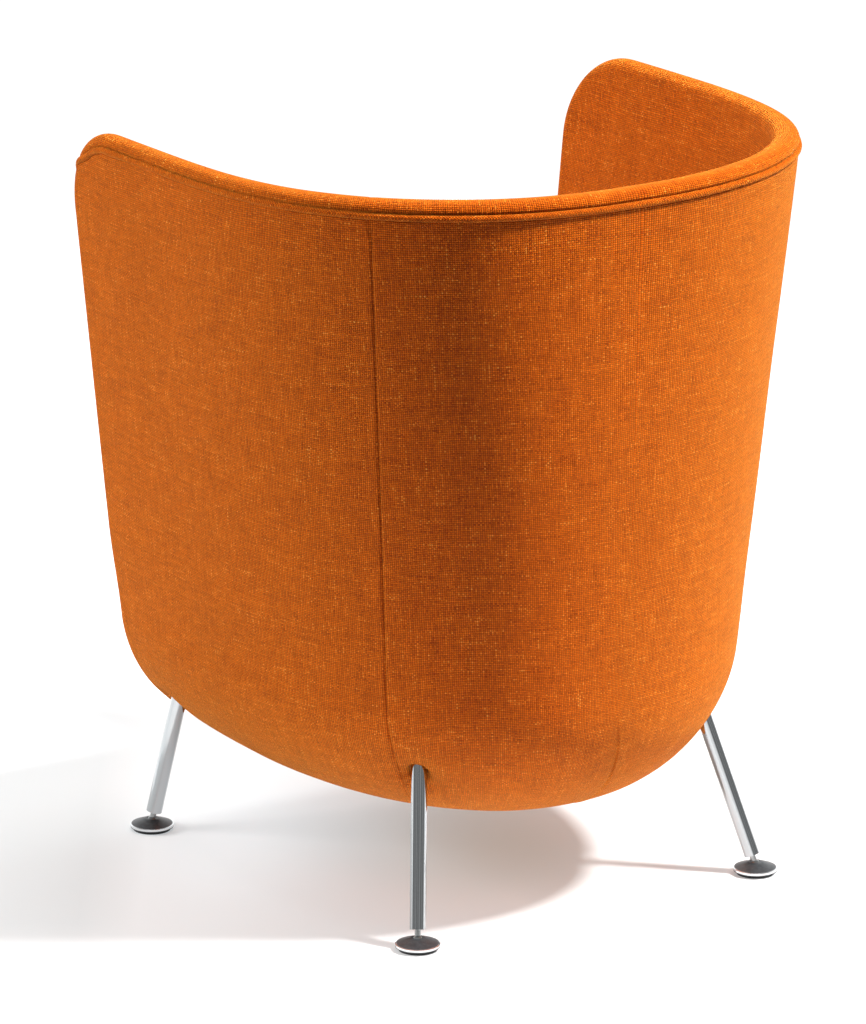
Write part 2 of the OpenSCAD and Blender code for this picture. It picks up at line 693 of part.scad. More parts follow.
module tee_nuts() {
    color("#c9c9c4") tee_places() difference() {
        union() {
            translate([0, 0, board_low]) cylinder(d = tee_d, h = board_t - tee_flange_t);
            translate([0, 0, board_h - tee_flange_t]) cylinder(d = tee_flange_d, h = tee_flange_t);
        }
        translate([0, 0, board_low - over]) cylinder(d = bolt_d + 2 * fit_gap, h = board_t + 2 * over);
    }
}
module socket_screws() {
    color("#b9b9b6") tee_places() {
        translate([0, 0, plate_under - bolt_head_h]) cylinder(d = bolt_head_d, h = bolt_head_h);
        translate([0, 0, plate_under]) cylinder(d = bolt_d, h = plate_t + board_t);
    }
}

// Webbing: straps from front to back, straps across them and their staples
strap_space = 20;
hole_len = board_hole_back + board_hole_front;
long_straps = floor((board_hole_w + strap_space) / (strap_w + strap_space));
cross_straps = floor((hole_len + strap_space) / (strap_w + strap_space));
strap_hold = 18;
strap_pitch_x = (board_hole_w - strap_w) / long_straps + strap_w / (2 * long_straps);
strap_pitch_y = hole_len / cross_straps;
staple_w = 10;
staple_wire = 1;
module long_places() {
    for (k = [0 : long_straps - 1])
        translate([(k - (long_straps - 1) / 2) * strap_pitch_x, plan_y + (board_hole_back - board_hole_front) / 2, board_h])
            children();
}
module cross_places() {
    for (k = [0 : cross_straps - 1])
        translate([0, plan_y - board_hole_front + (k + 0.5) * strap_pitch_y, board_h + strap_t + layer_gap])
            children();
}
module webbing_long() {
    l = hole_len + 2 * strap_hold;
    color("#2d2d2f") long_places() translate([-strap_w / 2, -l / 2, 0]) cube([strap_w, l, strap_t]);
}
module webbing_cross() {
    l = board_hole_w + 2 * strap_hold;
    color("#3b3b3e") cross_places() translate([-l / 2, -strap_w / 2, 0]) cube([l, strap_w, strap_t]);
}
module webbing_staples() {
    color("#bdbdb8") {
        for (s = [-1, 1]) for (q = [-1, 1]) {
            long_places() translate([q * strap_w / 4 - staple_w / 2, s * (hole_len / 2 + strap_hold / 2), strap_t])
                cube([staple_w, staple_wire, staple_wire]);
            cross_places()
                translate([s * (board_hole_w / 2 + strap_hold / 2), q * strap_w / 4 - staple_w / 2, strap_t])
                    cube([staple_wire, staple_w, staple_wire]);
        }
    }
}
module webbing_pad() {
    z = board_h + 2 * strap_t + 2 * layer_gap + staple_wire;
    color("#8d8f92") translate([0, 0, z]) linear_extrude(height = felt_t - staple_wire + layer_gap) intersection() {
        polygon([for (p = seat_ring(seat_low, seat_lower_in)) [p[0], p[1]]]);
        translate([-tub_w / 2, plan_y - board_front_d]) square([tub_w, tub_back_d + board_front_d]);
    }
}

// The dust cover closes the opening in the underside
dust_t = 0.8;
dust_lap = 12;
dust_cols = 26;
function dust_half(lap) =
    let (d = under_r - lap)
    concat(
        [for (c = [mid_col : -1 : bridge_cols])
            c > band + 1 ? back_pt(back_angle(c), under_h, d) :
            arm_pt(c < band ? level(c, roll_r, 0) - arm_reach : -side_y(c), under_h, d)],
        [arm_pt(level(bridge_cols, roll_r, 0) - arm_reach - lap, under_h, d)]
    );
module dust_cover() {
    half = dust_half(dust_lap);
    outline = concat([for (p = half) [p[0], p[1]]], [for (k = [len(half) - 1 : -1 : 1]) [-half[k][0], half[k][1]]]);
    color("#1d1d1f") translate([0, plan_y, under_h - dust_t]) linear_extrude(height = dust_t) polygon(outline);
}
staple_t = 0.5;
module dust_staples() {
    half = dust_half(dust_lap / 2);
    color("#bdbdb8") for (s = [-1, 1]) for (k = [1 : len(half) - 1])
        let (p = (half[k] + half[k - 1]) / 2, v = half[k] - half[k - 1])
        translate([s * p[0], p[1] + plan_y, under_h - dust_t - staple_t])
            rotate([0, 0, s * atan2(v[1], v[0]) + (s < 0 ? 180 : 0)])
                translate([-staple_w / 2, -staple_wire / 2, 0]) cube([staple_w, staple_wire, staple_t]);
}

// Legs, from the plate down to the floor
module socket(front, side) {
    p = plate_at(front, side);
    color("#77797c") difference() {
        union() {
            translate([p[0], p[1], plate_under]) rotate([0, 0, leg_turn(front, side)])
                translate([-plate_w / 2, -plate_w / 2, 0]) cube([plate_w, plate_w, plate_t]);
            intersection() {
                leg_frame(front, side) translate([0, 0, leg_at(front, plate_under) - sleeve_l])
                    cylinder(d = leg_d + 2 * sleeve_wall, h = sleeve_l + plate_t);
                translate([p[0] - plate_w, p[1] - plate_w, plate_under - 2 * sleeve_l])
                    cube([2 * plate_w, 2 * plate_w, 2 * sleeve_l + plate_t / 2]);
            }
        }
        leg_frame(front, side) cylinder(d = leg_d + 2 * fit_gap, h = leg_top(front) + fit_gap);
        tee_places() translate([0, 0, plate_under - over]) cylinder(d = bolt_d + 2 * fit_gap, h = plate_t + 2 * over);
    }
}
module tube(front, side) {
    color("#d9dcdf") leg_frame(front, side) difference() {
        translate([0, 0, leg_end]) cylinder(d = leg_d, h = leg_top(front) - leg_end);
        cylinder(d = leg_d - 2 * leg_wall, h = leg_top(front) + over);
    }
}
module insert(front, side) {
    color("#9a9da0") leg_frame(front, side) translate([0, 0, leg_end]) difference() {
        cylinder(d = leg_d - 2 * leg_wall - 2 * insert_gap, h = insert_l);
        translate([0, 0, -over]) cylinder(d = stem_d + 2 * fit_gap, h = insert_l + 2 * over);
    }
}
insert_gap = 0.02;
module stem(front, side) {
    color("#b4b7ba") leg_frame(front, side) {
        sphere(d = ball_d);
        cylinder(d = neck_d, h = leg_end + over);
        translate([0, 0, leg_end + stem_in]) cylinder(d = stem_d, h = stem_l);
    }
}
stem_in = 0.5;
cup_t = 0.85;
cup_gap = 0.05;
cup_low = 1.7;
module cup(front, side) {
    color("#e9e9e4") leg_frame(front, side) difference() {
        sphere(d = ball_d + 2 * cup_gap + 2 * cup_t);
        sphere(d = ball_d + 2 * cup_gap);
        translate([0, 0, -cup_low]) cylinder(d = 2 * ball_d, h = ball_d);
    }
}
cavity_d = ball_d + 2 * cup_t + 4 * cup_gap;
lip_d = ball_d - 0.5;
lip_h = 0.9;
module cone(front, side) {
    color("#e3e6e8") glide_frame(front, side) difference() {
        union() {
            translate([0, 0, pad_t]) cylinder(d = glide_d, h = glide_band_h);
            translate([0, 0, pad_t + glide_band_h])
                cylinder(d1 = glide_d, d2 = cone_top_d, h = ball_h + cone_top_h - pad_t - glide_band_h);
        }
        intersection() {
            translate([0, 0, ball_h]) sphere(d = cavity_d);
            translate([0, 0, 0]) cylinder(d = 2 * cavity_d, h = ball_h + cone_top_h - lip_h);
        }
        translate([0, 0, pad_t - over]) cylinder(d = ball_d - 2 * lip_h, h = ball_h - pad_t);
        translate([0, 0, ball_h]) cylinder(d = lip_d, h = cone_top_h + over);
    }
}
module pad(front, side) {
    color("#161617") glide_frame(front, side) cylinder(d = pad_d, h = pad_t);
}

tub_shell();
seat_board();
ledge_blocks();
board_screws();
webbing_long();
webbing_cross();
webbing_staples();
webbing_pad();
seat_foam();
seat_cover();
front_board();
front_pad();
front_cover();
front_screws();
inner_foam();
edge_roll();
inner_cover();
outer_wadding();
outer_cover_left();
outer_cover_back();
outer_cover_right();
welt_cord();
dust_cover();
dust_staples();
socket_screws();
tee_nuts();
socket(true, 1);  // leg_socket_front_left
socket(true, -1);  // leg_socket_front_right
socket(false, 1);  // leg_socket_rear_left
socket(false, -1);  // leg_socket_rear_right
tube(true, 1);  // leg_tube_front_left
tube(true, -1);  // leg_tube_front_right
tube(false, 1);  // leg_tube_rear_left
tube(false, -1);  // leg_tube_rear_right
insert(true, 1);  // leg_insert_front_left
insert(true, -1);  // leg_insert_front_right
insert(false, 1);  // leg_insert_rear_left
insert(false, -1);  // leg_insert_rear_right
stem(true, 1);  // glide_stem_front_left
stem(true, -1);  // glide_stem_front_right
stem(false, 1);  // glide_stem_rear_left
stem(false, -1);  // glide_stem_rear_right
cup(true, 1);  // ball_cup_front_left
cup(true, -1);  // ball_cup_front_right
cup(false, 1);  // ball_cup_rear_left
cup(false, -1);  // ball_cup_rear_right
cone(true, 1);  // glide_cone_front_left
cone(true, -1);  // glide_cone_front_right
cone(false, 1);  // glide_cone_rear_left
cone(false, -1);  // glide_cone_rear_right
pad(true, 1);  // glide_pad_front_left
pad(true, -1);  // glide_pad_front_right
pad(false, 1);  // glide_pad_rear_left
pad(false, -1);  // glide_pad_rear_right
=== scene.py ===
# Looks of the upholstered tub chair: camera, stage, cloth covers, seat cushion and chromed legs.
import json
import math

import bmesh
import bpy
from mathutils import Matrix, Vector, noise


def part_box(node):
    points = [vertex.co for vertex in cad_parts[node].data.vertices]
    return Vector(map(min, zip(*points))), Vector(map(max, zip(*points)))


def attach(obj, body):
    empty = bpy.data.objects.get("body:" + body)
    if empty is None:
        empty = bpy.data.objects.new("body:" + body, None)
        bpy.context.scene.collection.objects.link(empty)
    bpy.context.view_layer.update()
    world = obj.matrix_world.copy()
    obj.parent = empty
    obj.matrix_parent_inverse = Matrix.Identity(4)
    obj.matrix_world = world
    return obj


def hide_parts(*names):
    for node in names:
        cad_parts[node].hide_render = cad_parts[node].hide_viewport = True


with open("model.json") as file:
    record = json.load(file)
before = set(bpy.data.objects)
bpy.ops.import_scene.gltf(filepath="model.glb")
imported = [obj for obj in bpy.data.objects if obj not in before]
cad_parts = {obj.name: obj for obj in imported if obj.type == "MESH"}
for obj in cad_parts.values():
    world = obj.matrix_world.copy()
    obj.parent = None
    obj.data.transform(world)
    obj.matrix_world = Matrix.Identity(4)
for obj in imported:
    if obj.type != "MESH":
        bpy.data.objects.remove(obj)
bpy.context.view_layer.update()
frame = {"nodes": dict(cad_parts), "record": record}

mm = 0.001
scene = bpy.context.scene
scene.view_settings.view_transform = "Standard"

# Sizes of the tub, as in the part's source
tub_w = 635 * mm
tub_back_d = 372 * mm
tub_front_d = 512 * mm
arm_reach = 181 * mm
rim_h = 755 * mm
rim_fall = 5 * mm
corner_r = 92 * mm
under_h = 92 * mm
under_r = 140 * mm
side_slope = math.tan(math.radians(5.1))
back_slope = math.tan(math.radians(2.2))
rim_square = 2.77
under_square = 2.12
roll_r = 12 * mm
side_wall_t = 44 * mm
back_wall_t = 60 * mm
seam_angle = math.radians(47.3)
welt_r = 3.5 * mm
welt_level = 15.6 * mm
welt_depth = 1.0 * mm
seat_h = 436 * mm
seat_crown = 24 * mm
seat_edge_r = 30 * mm
seat_corner_r = 38 * mm
seat_front_d = 197 * mm
seat_bow = 12 * mm
side_blend = 110 * mm
cover_gap = 0.4 * mm
round_h = under_h + under_r
drop = rim_h - round_h
arc = under_r * math.pi / 2
deck_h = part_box("seat_board")[1].z
seat_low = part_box("seat_cover")[0].z

# Legs: glide places and leans give the axis of each tube
rear_foot_y = 290 * mm
legs = {
    "front_left": (234 * mm, -158 * mm, math.radians(12.6)),
    "front_right": (-234 * mm, -158 * mm, math.radians(12.6)),
    "rear_left": (202.5 * mm, rear_foot_y, math.radians(20.7)),
    "rear_right": (-202.5 * mm, rear_foot_y, math.radians(20.7)),
}
ball_h = 9 * mm
leg_r = 8 * mm
pad_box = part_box("glide_pad_rear_left")
plan_y = (pad_box[0].y + pad_box[1].y) / 2 - rear_foot_y
plan_shift = Vector((0, plan_y, 0))


def leg_axis(name):
    """A point of the leg's axis and its upward direction, in plan places."""
    x, y, lean = legs[name]
    out = Vector((x, y, 0)).normalized()
    up = Vector((-out.x * math.sin(lean), -out.y * math.sin(lean), math.cos(lean)))
    return Vector((x, y, ball_h)), up


def axis_gap(p, name):
    """Distance of p from a leg's axis, and the angle round it."""
    a, u = leg_axis(name)
    v = p - a
    r = v - u * v.dot(u)
    return r.length, math.atan2(r.z, r.x)


# Shape of the tub: a squared curve in plan, leaning sides and a rounded underside
def rim_at(y):
    """Height of the rim, which falls a little toward the front."""
    return rim_h - rim_fall * (tub_back_d - y) / (tub_back_d + arm_reach)


def half_w(z):
    """Half the tub's width at the height z."""
    return tub_w / 2 - side_slope * (rim_h - z)


def square_at(z):
    """How square the plan is at the height z: 2 is an ellipse."""
    return rim_square - (rim_square - under_square) * (rim_h - z) / (rim_h - under_h)


def arm_pt(y, z, d):
    """A point of the left arm's face at the plan place y, d inside it."""
    n = square_at(z)
    b = tub_front_d - back_slope * (rim_h - z) - d
    return Vector(((half_w(z) - d) * (1 - (abs(y) / b) ** n) ** (1 / n), y, z))


def back_pt(t, z, d):
    """A point of the back's face at the curve angle t from its middle, d inside it."""
    n = square_at(z)
    b = tub_back_d - back_slope * (rim_h - z) - d
    return Vector(((half_w(z) - d) * math.sin(t) ** (2 / n), b * max(math.cos(t), 0) ** (2 / n), z))


# Half the width of the flat strip under the front edge
front_half = arm_pt(-arm_reach, under_h, under_r).x

# Lengths along the back's curve at mid height, to lay cloth out evenly
curve_steps = 360
curve_h = rim_h * 0.65
curve = [back_pt(math.pi / 2 * (1 - k / curve_steps), curve_h, 0) for k in range(curve_steps + 1)]
lengths = [0.0]
for p, q in zip(curve, curve[1:]):
    lengths.append(lengths[-1] + (q - p).length)
q_mid = arm_reach + lengths[-1]


def angle_at(q):
    """Curve angle from the back's middle, for a length q from the front edge of the arm."""
    run = min(max(q - arm_reach, 0), lengths[-1])
    lo, hi = 0, curve_steps
    while hi - lo > 1:
        k = (lo + hi) // 2
        lo, hi = (k, hi) if lengths[k] <= run else (lo, k)
    return math.pi / 2 * (1 - (lo + (run - lengths[lo]) / (lengths[hi] - lengths[lo])) / curve_steps)


def length_at(t):
    """The length from the front edge of the arm at which the curve has the angle t."""
    k = (1 - t / (math.pi / 2)) * curve_steps
    lo = int(k)
    return arm_reach + lengths[lo] + (lengths[lo + 1] - lengths[lo]) * (k - lo)


q_seam = length_at(seam_angle)
right_seam = 2 * q_mid - q_seam


def from_front(q_all):
    """The length from the front edge of the nearer arm."""
    return min(q_all, 2 * q_mid - q_all)


def on_side(q, side):
    """Turns a length from the near arm's front into one round the whole tub, or back: side is 1 or -1."""
    return q if side > 0 else 2 * q_mid - q


def smooth(x):
    """A soft step from 0 to 1."""
    x = min(max(x, 0.0), 1.0)
    return x * x * (3 - 2 * x)


def bend(q, w):
    """The square corner of arm and rim bent into the arm's round corner."""
    if q >= corner_r or w >= corner_r:
        return q, w, min(q, w)
    a, b = 1 - q / corner_r, 1 - w / corner_r
    m = max(a, b)
    if m <= 0:
        return q, w, corner_r
    g = math.radians(45 * b / a if a >= b else 90 - 45 * a / b)
    return corner_r * (1 - m * math.cos(g)), corner_r * (1 - m * math.sin(g)), corner_r * (1 - m)


def edge_turn(q, w):
    """Angle round the free edge: 0 along the front, 90 degrees along the rim, between them in the corner."""
    if w >= corner_r:
        return 0
    if q >= corner_r:
        return 90
    a, b = corner_r - q, corner_r - w
    return 45 * b / a if a >= b else 90 - 45 * a / b


def across(q, w, e):
    """The place at the distance e from the free edge on the line across the edge through q, w."""
    if w >= corner_r:
        return e, w
    if q >= corner_r:
        return q, e
    k = (corner_r - e) / (corner_r - min(q, w))
    return corner_r - (corner_r - q) * k, corner_r - (corner_r - w) * k


# Angles round the corner, in degrees, at which the welt leaves the crest and reaches its level
welt_leaves = 13
welt_settles = 58


def welt_run(q, w):
    """Length over the roll from its crest out to the welt: none along the front, most along the rim."""
    share = smooth((edge_turn(q, w) - welt_leaves) / (welt_settles - welt_leaves))
    return (roll_r * math.pi / 2 + welt_level - roll_r) * share


def wall_t(q):
    """Thickness of the padded wall low down."""
    if q < arm_reach:
        return side_wall_t
    return side_wall_t + (back_wall_t - side_wall_t) * math.cos(angle_at(q)) ** 2


# How the hand-padded rim strays from the even curve, in mm: length round the tub, outward, upward
strays = [
    (-40, 3.4, 0.4), (0, 3.4, 0.4), (61, 2.8, 0.2), (131, 2.4, 0.0), (212, 2.6, -0.4), (292, 2.4, -0.8),
    (364, 1.6, -0.7), (432, -0.4, -0.5), (530, -2.4, -1.2), (690, 0.5, -4.6), (740, 0.5, -4.6),
]
stray_fade = 95 * mm


def stray(q):
    """Outward and upward shift at the length q, as a smooth curve through the table."""
    at = q / mm
    k = max(i for i in range(1, len(strays) - 2) if strays[i][0] <= at or i == 1)
    a, b, c, d = strays[k - 1:k + 3]
    s = min(max((at - b[0]) / (c[0] - b[0]), 0), 1)
    out = []
    for n in (1, 2):
        m0 = (c[n] - a[n]) / (c[0] - a[0]) * (c[0] - b[0])
        m1 = (d[n] - b[n]) / (d[0] - b[0]) * (c[0] - b[0])
        out.append(((2 * s ** 3 - 3 * s ** 2 + 1) * b[n] + (s ** 3 - 2 * s ** 2 + s) * m0
                    + (3 * s ** 2 - 2 * s ** 3) * c[n] + (s ** 3 - s ** 2) * m1) * mm)
    return out


def padding(q, e, z):
    """How much thicker than the rolled rim the wall is."""
    down = (rim_h - roll_r - z) / (rim_h - roll_r - seat_h)
    along = 1 if q > corner_r else (e - roll_r) / side_blend
    return (wall_t(q) - 2 * roll_r) * smooth(down * 0.9) * min(max(along, 0), 1)


def tub(q_all, w, depth):
    """A point at the length q_all round the tub and w below the rim, with its place on the cloth.
    depth(q, w, e, z) is how far inside the tub's face it lies."""
    side = 1 if q_all <= q_mid else -1
    q = on_side(q_all, side)
    u, ww, e = bend(q, w)
    back = u > arm_reach
    t = angle_at(u) if back else 0
    y = back_pt(t, rim_h, 0).y if back else u - arm_reach
    z = rim_at(y) - ww * (rim_at(y) - round_h) / drop
    out, up = stray(u)
    share = smooth((z - round_h) / stray_fade)
    d = depth(q, ww, e, max(z, round_h)) - out * share
    z += up * share
    turn = min(max(w - drop, 0) / under_r, math.pi / 2)
    if w > drop:
        z = under_h + d + (under_r - d) * (1 - math.sin(turn))
        d = d + (under_r - d) * (1 - math.cos(turn))
    p = back_pt(t, z, d) if back else arm_pt(y, z, d)
    beyond = max(w - drop - arc, 0)
    p.x *= side * (max(1 - beyond / front_half, 0) if beyond and not back else 1)
    return p + plan_shift, (on_side(u, side), -ww if w <= drop else -w)


slip_fade = 60 * mm


def wrapped(q_all, w, way, sink, more=lambda q, e, z: 0, spread=0.0):
    """A point of the cloth over the rolled edge: way 1 is its outer half, -1 its inner half. sink(off) is how
    far it lies below the roll's surface at the distance off from the welt, more() how far inside beyond that,
    and spread how much fuller the roll is at the back."""
    q = from_front(q_all)
    e = max(min(q, w), 0)
    a = math.acos(1 - e / roll_r) if e < roll_r else math.pi / 2
    run = roll_r * a + max(e - roll_r, 0)
    r = roll_r - sink(way * run - welt_run(q, w))
    turn = math.radians(edge_turn(q, w))
    if e < roll_r:
        q, w = across(q, w, roll_r - r * math.cos(a))
    d = roll_r - way * (r + spread * math.cos(angle_at(q)) ** 2 * (q > arm_reach)) * math.sin(a)
    side = 1 if q_all <= q_mid else -1
    p, uv = tub(on_side(q, side), w, lambda qq, ww, ee, z: d + more(qq, ee, z))
    slip = (run - e) * (1 - smooth((e - roll_r) / slip_fade))
    return p, (uv[0] + side * slip * math.cos(turn), uv[1] - slip * math.sin(turn))


# Mesh helpers: points closer than this are joined in a finished piece
same_place = 0.05 * mm


def stations(start, end, step, fine=(), fine_step=1.5 * mm, reach=7 * mm):
    """Places from start to end: step apart, and fine_step apart within reach of each place in fine."""
    out, p = [start], start
    while p < end - step * 0.3:
        near = any(abs(p + step / 2 - f) < reach + step / 2 for f in fine)
        p += fine_step if near else step
        out.append(p)
    out[-1] = end
    return out


def link(bm, name):
    """A smooth object of the mesh."""
    mesh = bpy.data.meshes.new(name)
    bm.to_mesh(mesh)
    bm.free()
    obj = bpy.data.objects.new(name, mesh)
    scene.collection.objects.link(obj)
    for face in mesh.polygons:
        face.use_smooth = True
    return obj


def sheet(bm, xs, ys, place, keep=None, close=()):
    """Adds a grid over the stations xs and ys. place(x, y) gives a point and its place on the cloth,
    keep(x, y) says which faces stay, and the faces close to the given spots are cut finer."""
    part = bmesh.new()
    nx, ny = len(xs) - 1, len(ys) - 1
    bmesh.ops.create_grid(part, x_segments=nx, y_segments=ny, size=0.5)
    for v in part.verts:
        v.co = (xs[round((v.co.x + 0.5) * nx)], ys[round((v.co.y + 0.5) * ny)], 0)
    if keep:
        gone = [f for f in part.faces if not keep(*f.calc_center_median().xy)]
        bmesh.ops.delete(part, geom=gone, context="FACES")
    for spot, radius in close:
        near = {e for f in part.faces if (f.calc_center_median().xy - Vector(spot)).length < radius
                for e in f.edges}
        bmesh.ops.subdivide_edges(part, edges=list(near), cuts=2, use_grid_fill=True)
    uv = part.loops.layers.uv.new("cloth")
    laid = {v: place(v.co.x, v.co.y) for v in part.verts}
    for f in part.faces:
        for loop in f.loops:
            loop[uv].uv = laid[loop.vert][1]
    for v, (p, _) in laid.items():
        v.co = p
    mesh = bpy.data.meshes.new("part")
    part.to_mesh(mesh)
    part.free()
    bm.from_mesh(mesh)
    bpy.data.meshes.remove(mesh)


def finished(bm, name, slot_name, material, *replaced):
    """The piece of the mesh: it rides on the frame and stands for the replaced nodes."""
    bmesh.ops.remove_doubles(bm, verts=bm.verts, dist=same_place)
    bmesh.ops.recalc_face_normals(bm, faces=bm.faces)
    obj = link(bm, name)
    obj.data.materials.append(material)
    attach(obj, "root")
    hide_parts(*replaced)
    return obj


# Materials
class Graph:
    """A small way to write node trees: every call makes a node and links its inputs."""

    def __init__(self, name, world=False):
        self.data = scene.world if world else bpy.data.materials.new(name)
        self.data.use_nodes = True
        self.tree = self.data.node_tree
        self.tree.nodes.clear()

    def add(self, kind, inputs=None, **settings):
        n = self.tree.nodes.new("ShaderNode" + kind)
        for key, value in settings.items():
            setattr(n, key, value)
        for key, value in (inputs or {}).items():
            if isinstance(value, bpy.types.NodeSocket):
                self.tree.links.new(value, n.inputs[key])
            else:
                n.inputs[key].default_value = value
        return n

    def math(self, operation, a, b=0.0):
        return self.add("Math", {0: a, 1: b}, operation=operation).outputs[0]

    def plus(self, a, b):
        return self.math("ADD", a, b)

    def minus(self, a, b):
        return self.math("SUBTRACT", a, b)

    def times(self, a, b):
        return self.math("MULTIPLY", a, b)

    def vector(self, x, y=0.0, z=0.0):
        return self.add("CombineXYZ", {0: x, 1: y, 2: z}).outputs[0]

    def along(self, vector, direction):
        """How far vector reaches in the direction."""
        n = self.add("VectorMath", {0: vector, 1: tuple(direction)}, operation="DOT_PRODUCT")
        return n.outputs["Value"]

    def either(self, factor, a, b):
        """The number a where factor is 0, and b where it is 1."""
        return self.add("Mix", {0: factor, 2: a, 3: b}, data_type="FLOAT").outputs[0]

    def bump(self, height, strength, distance):
        n = self.add("Bump", {"Height": height, "Strength": strength, "Distance": distance})
        return n.outputs[0]

    def place(self):
        """The object's own coordinates."""
        return self.add("TexCoord").outputs["Object"]

    def mix(self, factor, a, b):
        n = self.add("Mix", {0: factor, 6: a, 7: b}, data_type="RGBA")
        return n.outputs[2]

    def noise(self, vector, scale, detail=2.0, roughness=0.5):
        n = self.add("TexNoise", {"Vector": vector, "Scale": scale, "Detail": detail, "Roughness": roughness})
        return n.outputs["Fac"]

    def ramp(self, value, low, high):
        n = self.add("MapRange", {"Value": value, "From Min": low, "From Max": high})
        return n.outputs["Result"]

    def shader(self, **inputs):
        return self.add("BsdfPrincipled", inputs)

    def finish(self, shader):
        self.add("OutputMaterial", {"Surface": shader.outputs[0]})
        return self.data


def rgb(r, g, b):
    """A colour given as it is seen, from 0 to 255."""
    return tuple((c / 255) ** 2.2 for c in (r, g, b)) + (1.0,)


# Cloth: colours of the yarns, the painted shade in the gaps between them, their pitch and relief, and how
# fast tones drift
cloth_dark = (160, 58, 11)
cloth_main = (227, 103, 20)
cloth_fleck = (252, 176, 80)
# The painted shade colour in the gaps between yarns
painted_crevice_shade = (84, 24, 2)
warp_pitch = 2.1 * mm
weft_pitch = 1.85 * mm
yarn_relief = 0.95 * mm
tone_drift = 0.06
spot_drift = 0.42
yarn_wander = 1.6
# How much the yarn, its single float and the fine grit each count in the tone
yarn_share = 1.9
spot_share = 0.3
grit_share = 0.36
# Polished metal: scale of its faint smears, and strength and depth of its fine waves
polish_grain = 300.0
polish_relief = (0.06, 0.05 * mm)
wood_stretch = (4.0, 60.0, 60.0)


def cloth(name, turn=0.0):
    """A plain weave of thick mottled yarns: the cloth's lengths are in metres."""
    g = Graph(name)
    uv = g.add("UVMap", uv_map="cloth").outputs[0]
    uv = g.add("Mapping", {"Vector": uv, "Rotation": (0, 0, turn)}).outputs[0]
    wave = g.noise(uv, 14.0, 1.0)
    xy = g.add("SeparateXYZ", {0: uv})
    shift = g.times(g.minus(wave, 0.5), yarn_wander)
    a = g.plus(g.math("DIVIDE", xy.outputs[0], warp_pitch), shift)
    b = g.plus(g.math("DIVIDE", xy.outputs[1], weft_pitch), shift)
    ia, ib = g.math("FLOOR", a), g.math("FLOOR", b)
    fa = g.minus(g.math("FRACT", a), 0.5)
    fb = g.minus(g.math("FRACT", b), 0.5)
    over = g.math("PINGPONG", g.plus(ia, ib), 1.0)
    under = g.minus(1.0, over)
    ra = g.minus(1.0, g.times(g.times(fa, fa), 4.0))
    rb = g.minus(1.0, g.times(g.times(fb, fb), 4.0))
    # Height of the warp and weft yarns, each high where it passes over the other
    lift_a = g.plus(0.3, g.times(over, g.times(rb, 0.7)))
    lift_b = g.plus(0.3, g.times(under, g.times(ra, 0.7)))
    ha = g.times(g.math("SQRT", ra), lift_a)
    hb = g.times(g.math("SQRT", rb), lift_b)
    height = g.math("MAXIMUM", ha, hb)
    warp_on_top = g.math("GREATER_THAN", ha, hb)
    # Each yarn has its own tone, which drifts along it, and every float of it differs a little
    va = g.vector(g.times(ia, 3.71), g.times(b, tone_drift))
    vb = g.vector(g.times(a, tone_drift), g.times(ib, 5.13), 7.0)
    tone_a, tone_b = g.noise(va, 1.0, 2.0, 0.6), g.noise(vb, 1.0, 2.0, 0.6)
    near_a = g.vector(g.times(ia, 9.3), g.times(b, spot_drift))
    near_b = g.vector(g.times(a, spot_drift), g.times(ib, 7.7), 3.0)
    spot_a, spot_b = g.noise(near_a, 1.0, 1.0), g.noise(near_b, 1.0, 1.0)
    pick = g.either(warp_on_top, tone_b, tone_a)
    spot = g.either(warp_on_top, spot_b, spot_a)
    cell = g.vector(ia, ib, 0.5)
    grit = g.add("TexWhiteNoise", {"Vector": cell}, noise_dimensions="3D").outputs["Value"]
    tone = g.plus(g.times(g.minus(pick, 0.5), yarn_share), g.times(g.minus(spot, 0.5), spot_share))
    tone = g.plus(tone, g.times(g.minus(grit, 0.5), grit_share))
    base = g.mix(g.ramp(tone, -0.46, 0.36), rgb(*cloth_dark), rgb(*cloth_main))
    light = g.ramp(tone, 0.26, 0.8)
    base = g.mix(g.times(light, 0.8), base, rgb(*cloth_fleck))
    # Painted shade: where the weave is low, between the yarns, the colour is darkened toward the crevice
    # shade colour
    deep = g.ramp(height, 0.2, 0.8)
    colour = g.mix(g.plus(0.08, g.times(deep, 0.92)), rgb(*painted_crevice_shade), base)
    fibre = g.noise(uv, 2600.0, 2.0)
    relief = g.plus(height, g.times(fibre, 0.35))
    return g.finish(g.shader(**{
        "Base Color": colour, "Roughness": 0.92, "Specular IOR Level": 0.12, "Sheen Weight": 0.34,
        "Sheen Roughness": 0.45, "Sheen Tint": rgb(255, 214, 90),
        "Normal": g.bump(relief, 1.0, yarn_relief),
    }))


def metal(name, colour, rough, scratch):
    """Polished or plated metal with a faint smear in its shine."""
    g = Graph(name)
    smear = g.noise(g.place(), polish_grain, 4.0)
    roughness = g.plus(rough, g.times(smear, scratch))
    return g.finish(g.shader(**{
        "Base Color": rgb(*colour), "Metallic": 1.0, "Roughness": roughness,
        "Normal": g.bump(smear, *polish_relief),
    }))


def matte(name, low, high, rough, grain=400.0, relief=0.1, metres=0.2 * mm):
    """Plastic, rubber, foam or felt: a fine grain between two tones."""
    g = Graph(name)
    grey = g.noise(g.place(), grain, 5.0, 0.65)
    colour = g.mix(g.ramp(grey, 0.3, 0.7), rgb(*low), rgb(*high))
    return g.finish(g.shader(**{
        "Base Color": colour, "Roughness": rough, "Normal": g.bump(grey, relief, metres),
    }))


def timber(name, low, high):
    """Wood with its grain along x."""
    g = Graph(name)
    at = g.add("Mapping", {"Vector": g.place(), "Scale": wood_stretch}).outputs[0]
    grain = g.noise(at, 1.0, 8.0, 0.7)
    colour = g.mix(g.ramp(grain, 0.35, 0.65), rgb(*low), rgb(*high))
    return g.finish(g.shader(**{
        "Base Color": colour, "Roughness": 0.6, "Normal": g.bump(grain, 0.15, 0.2 * mm),
    }))


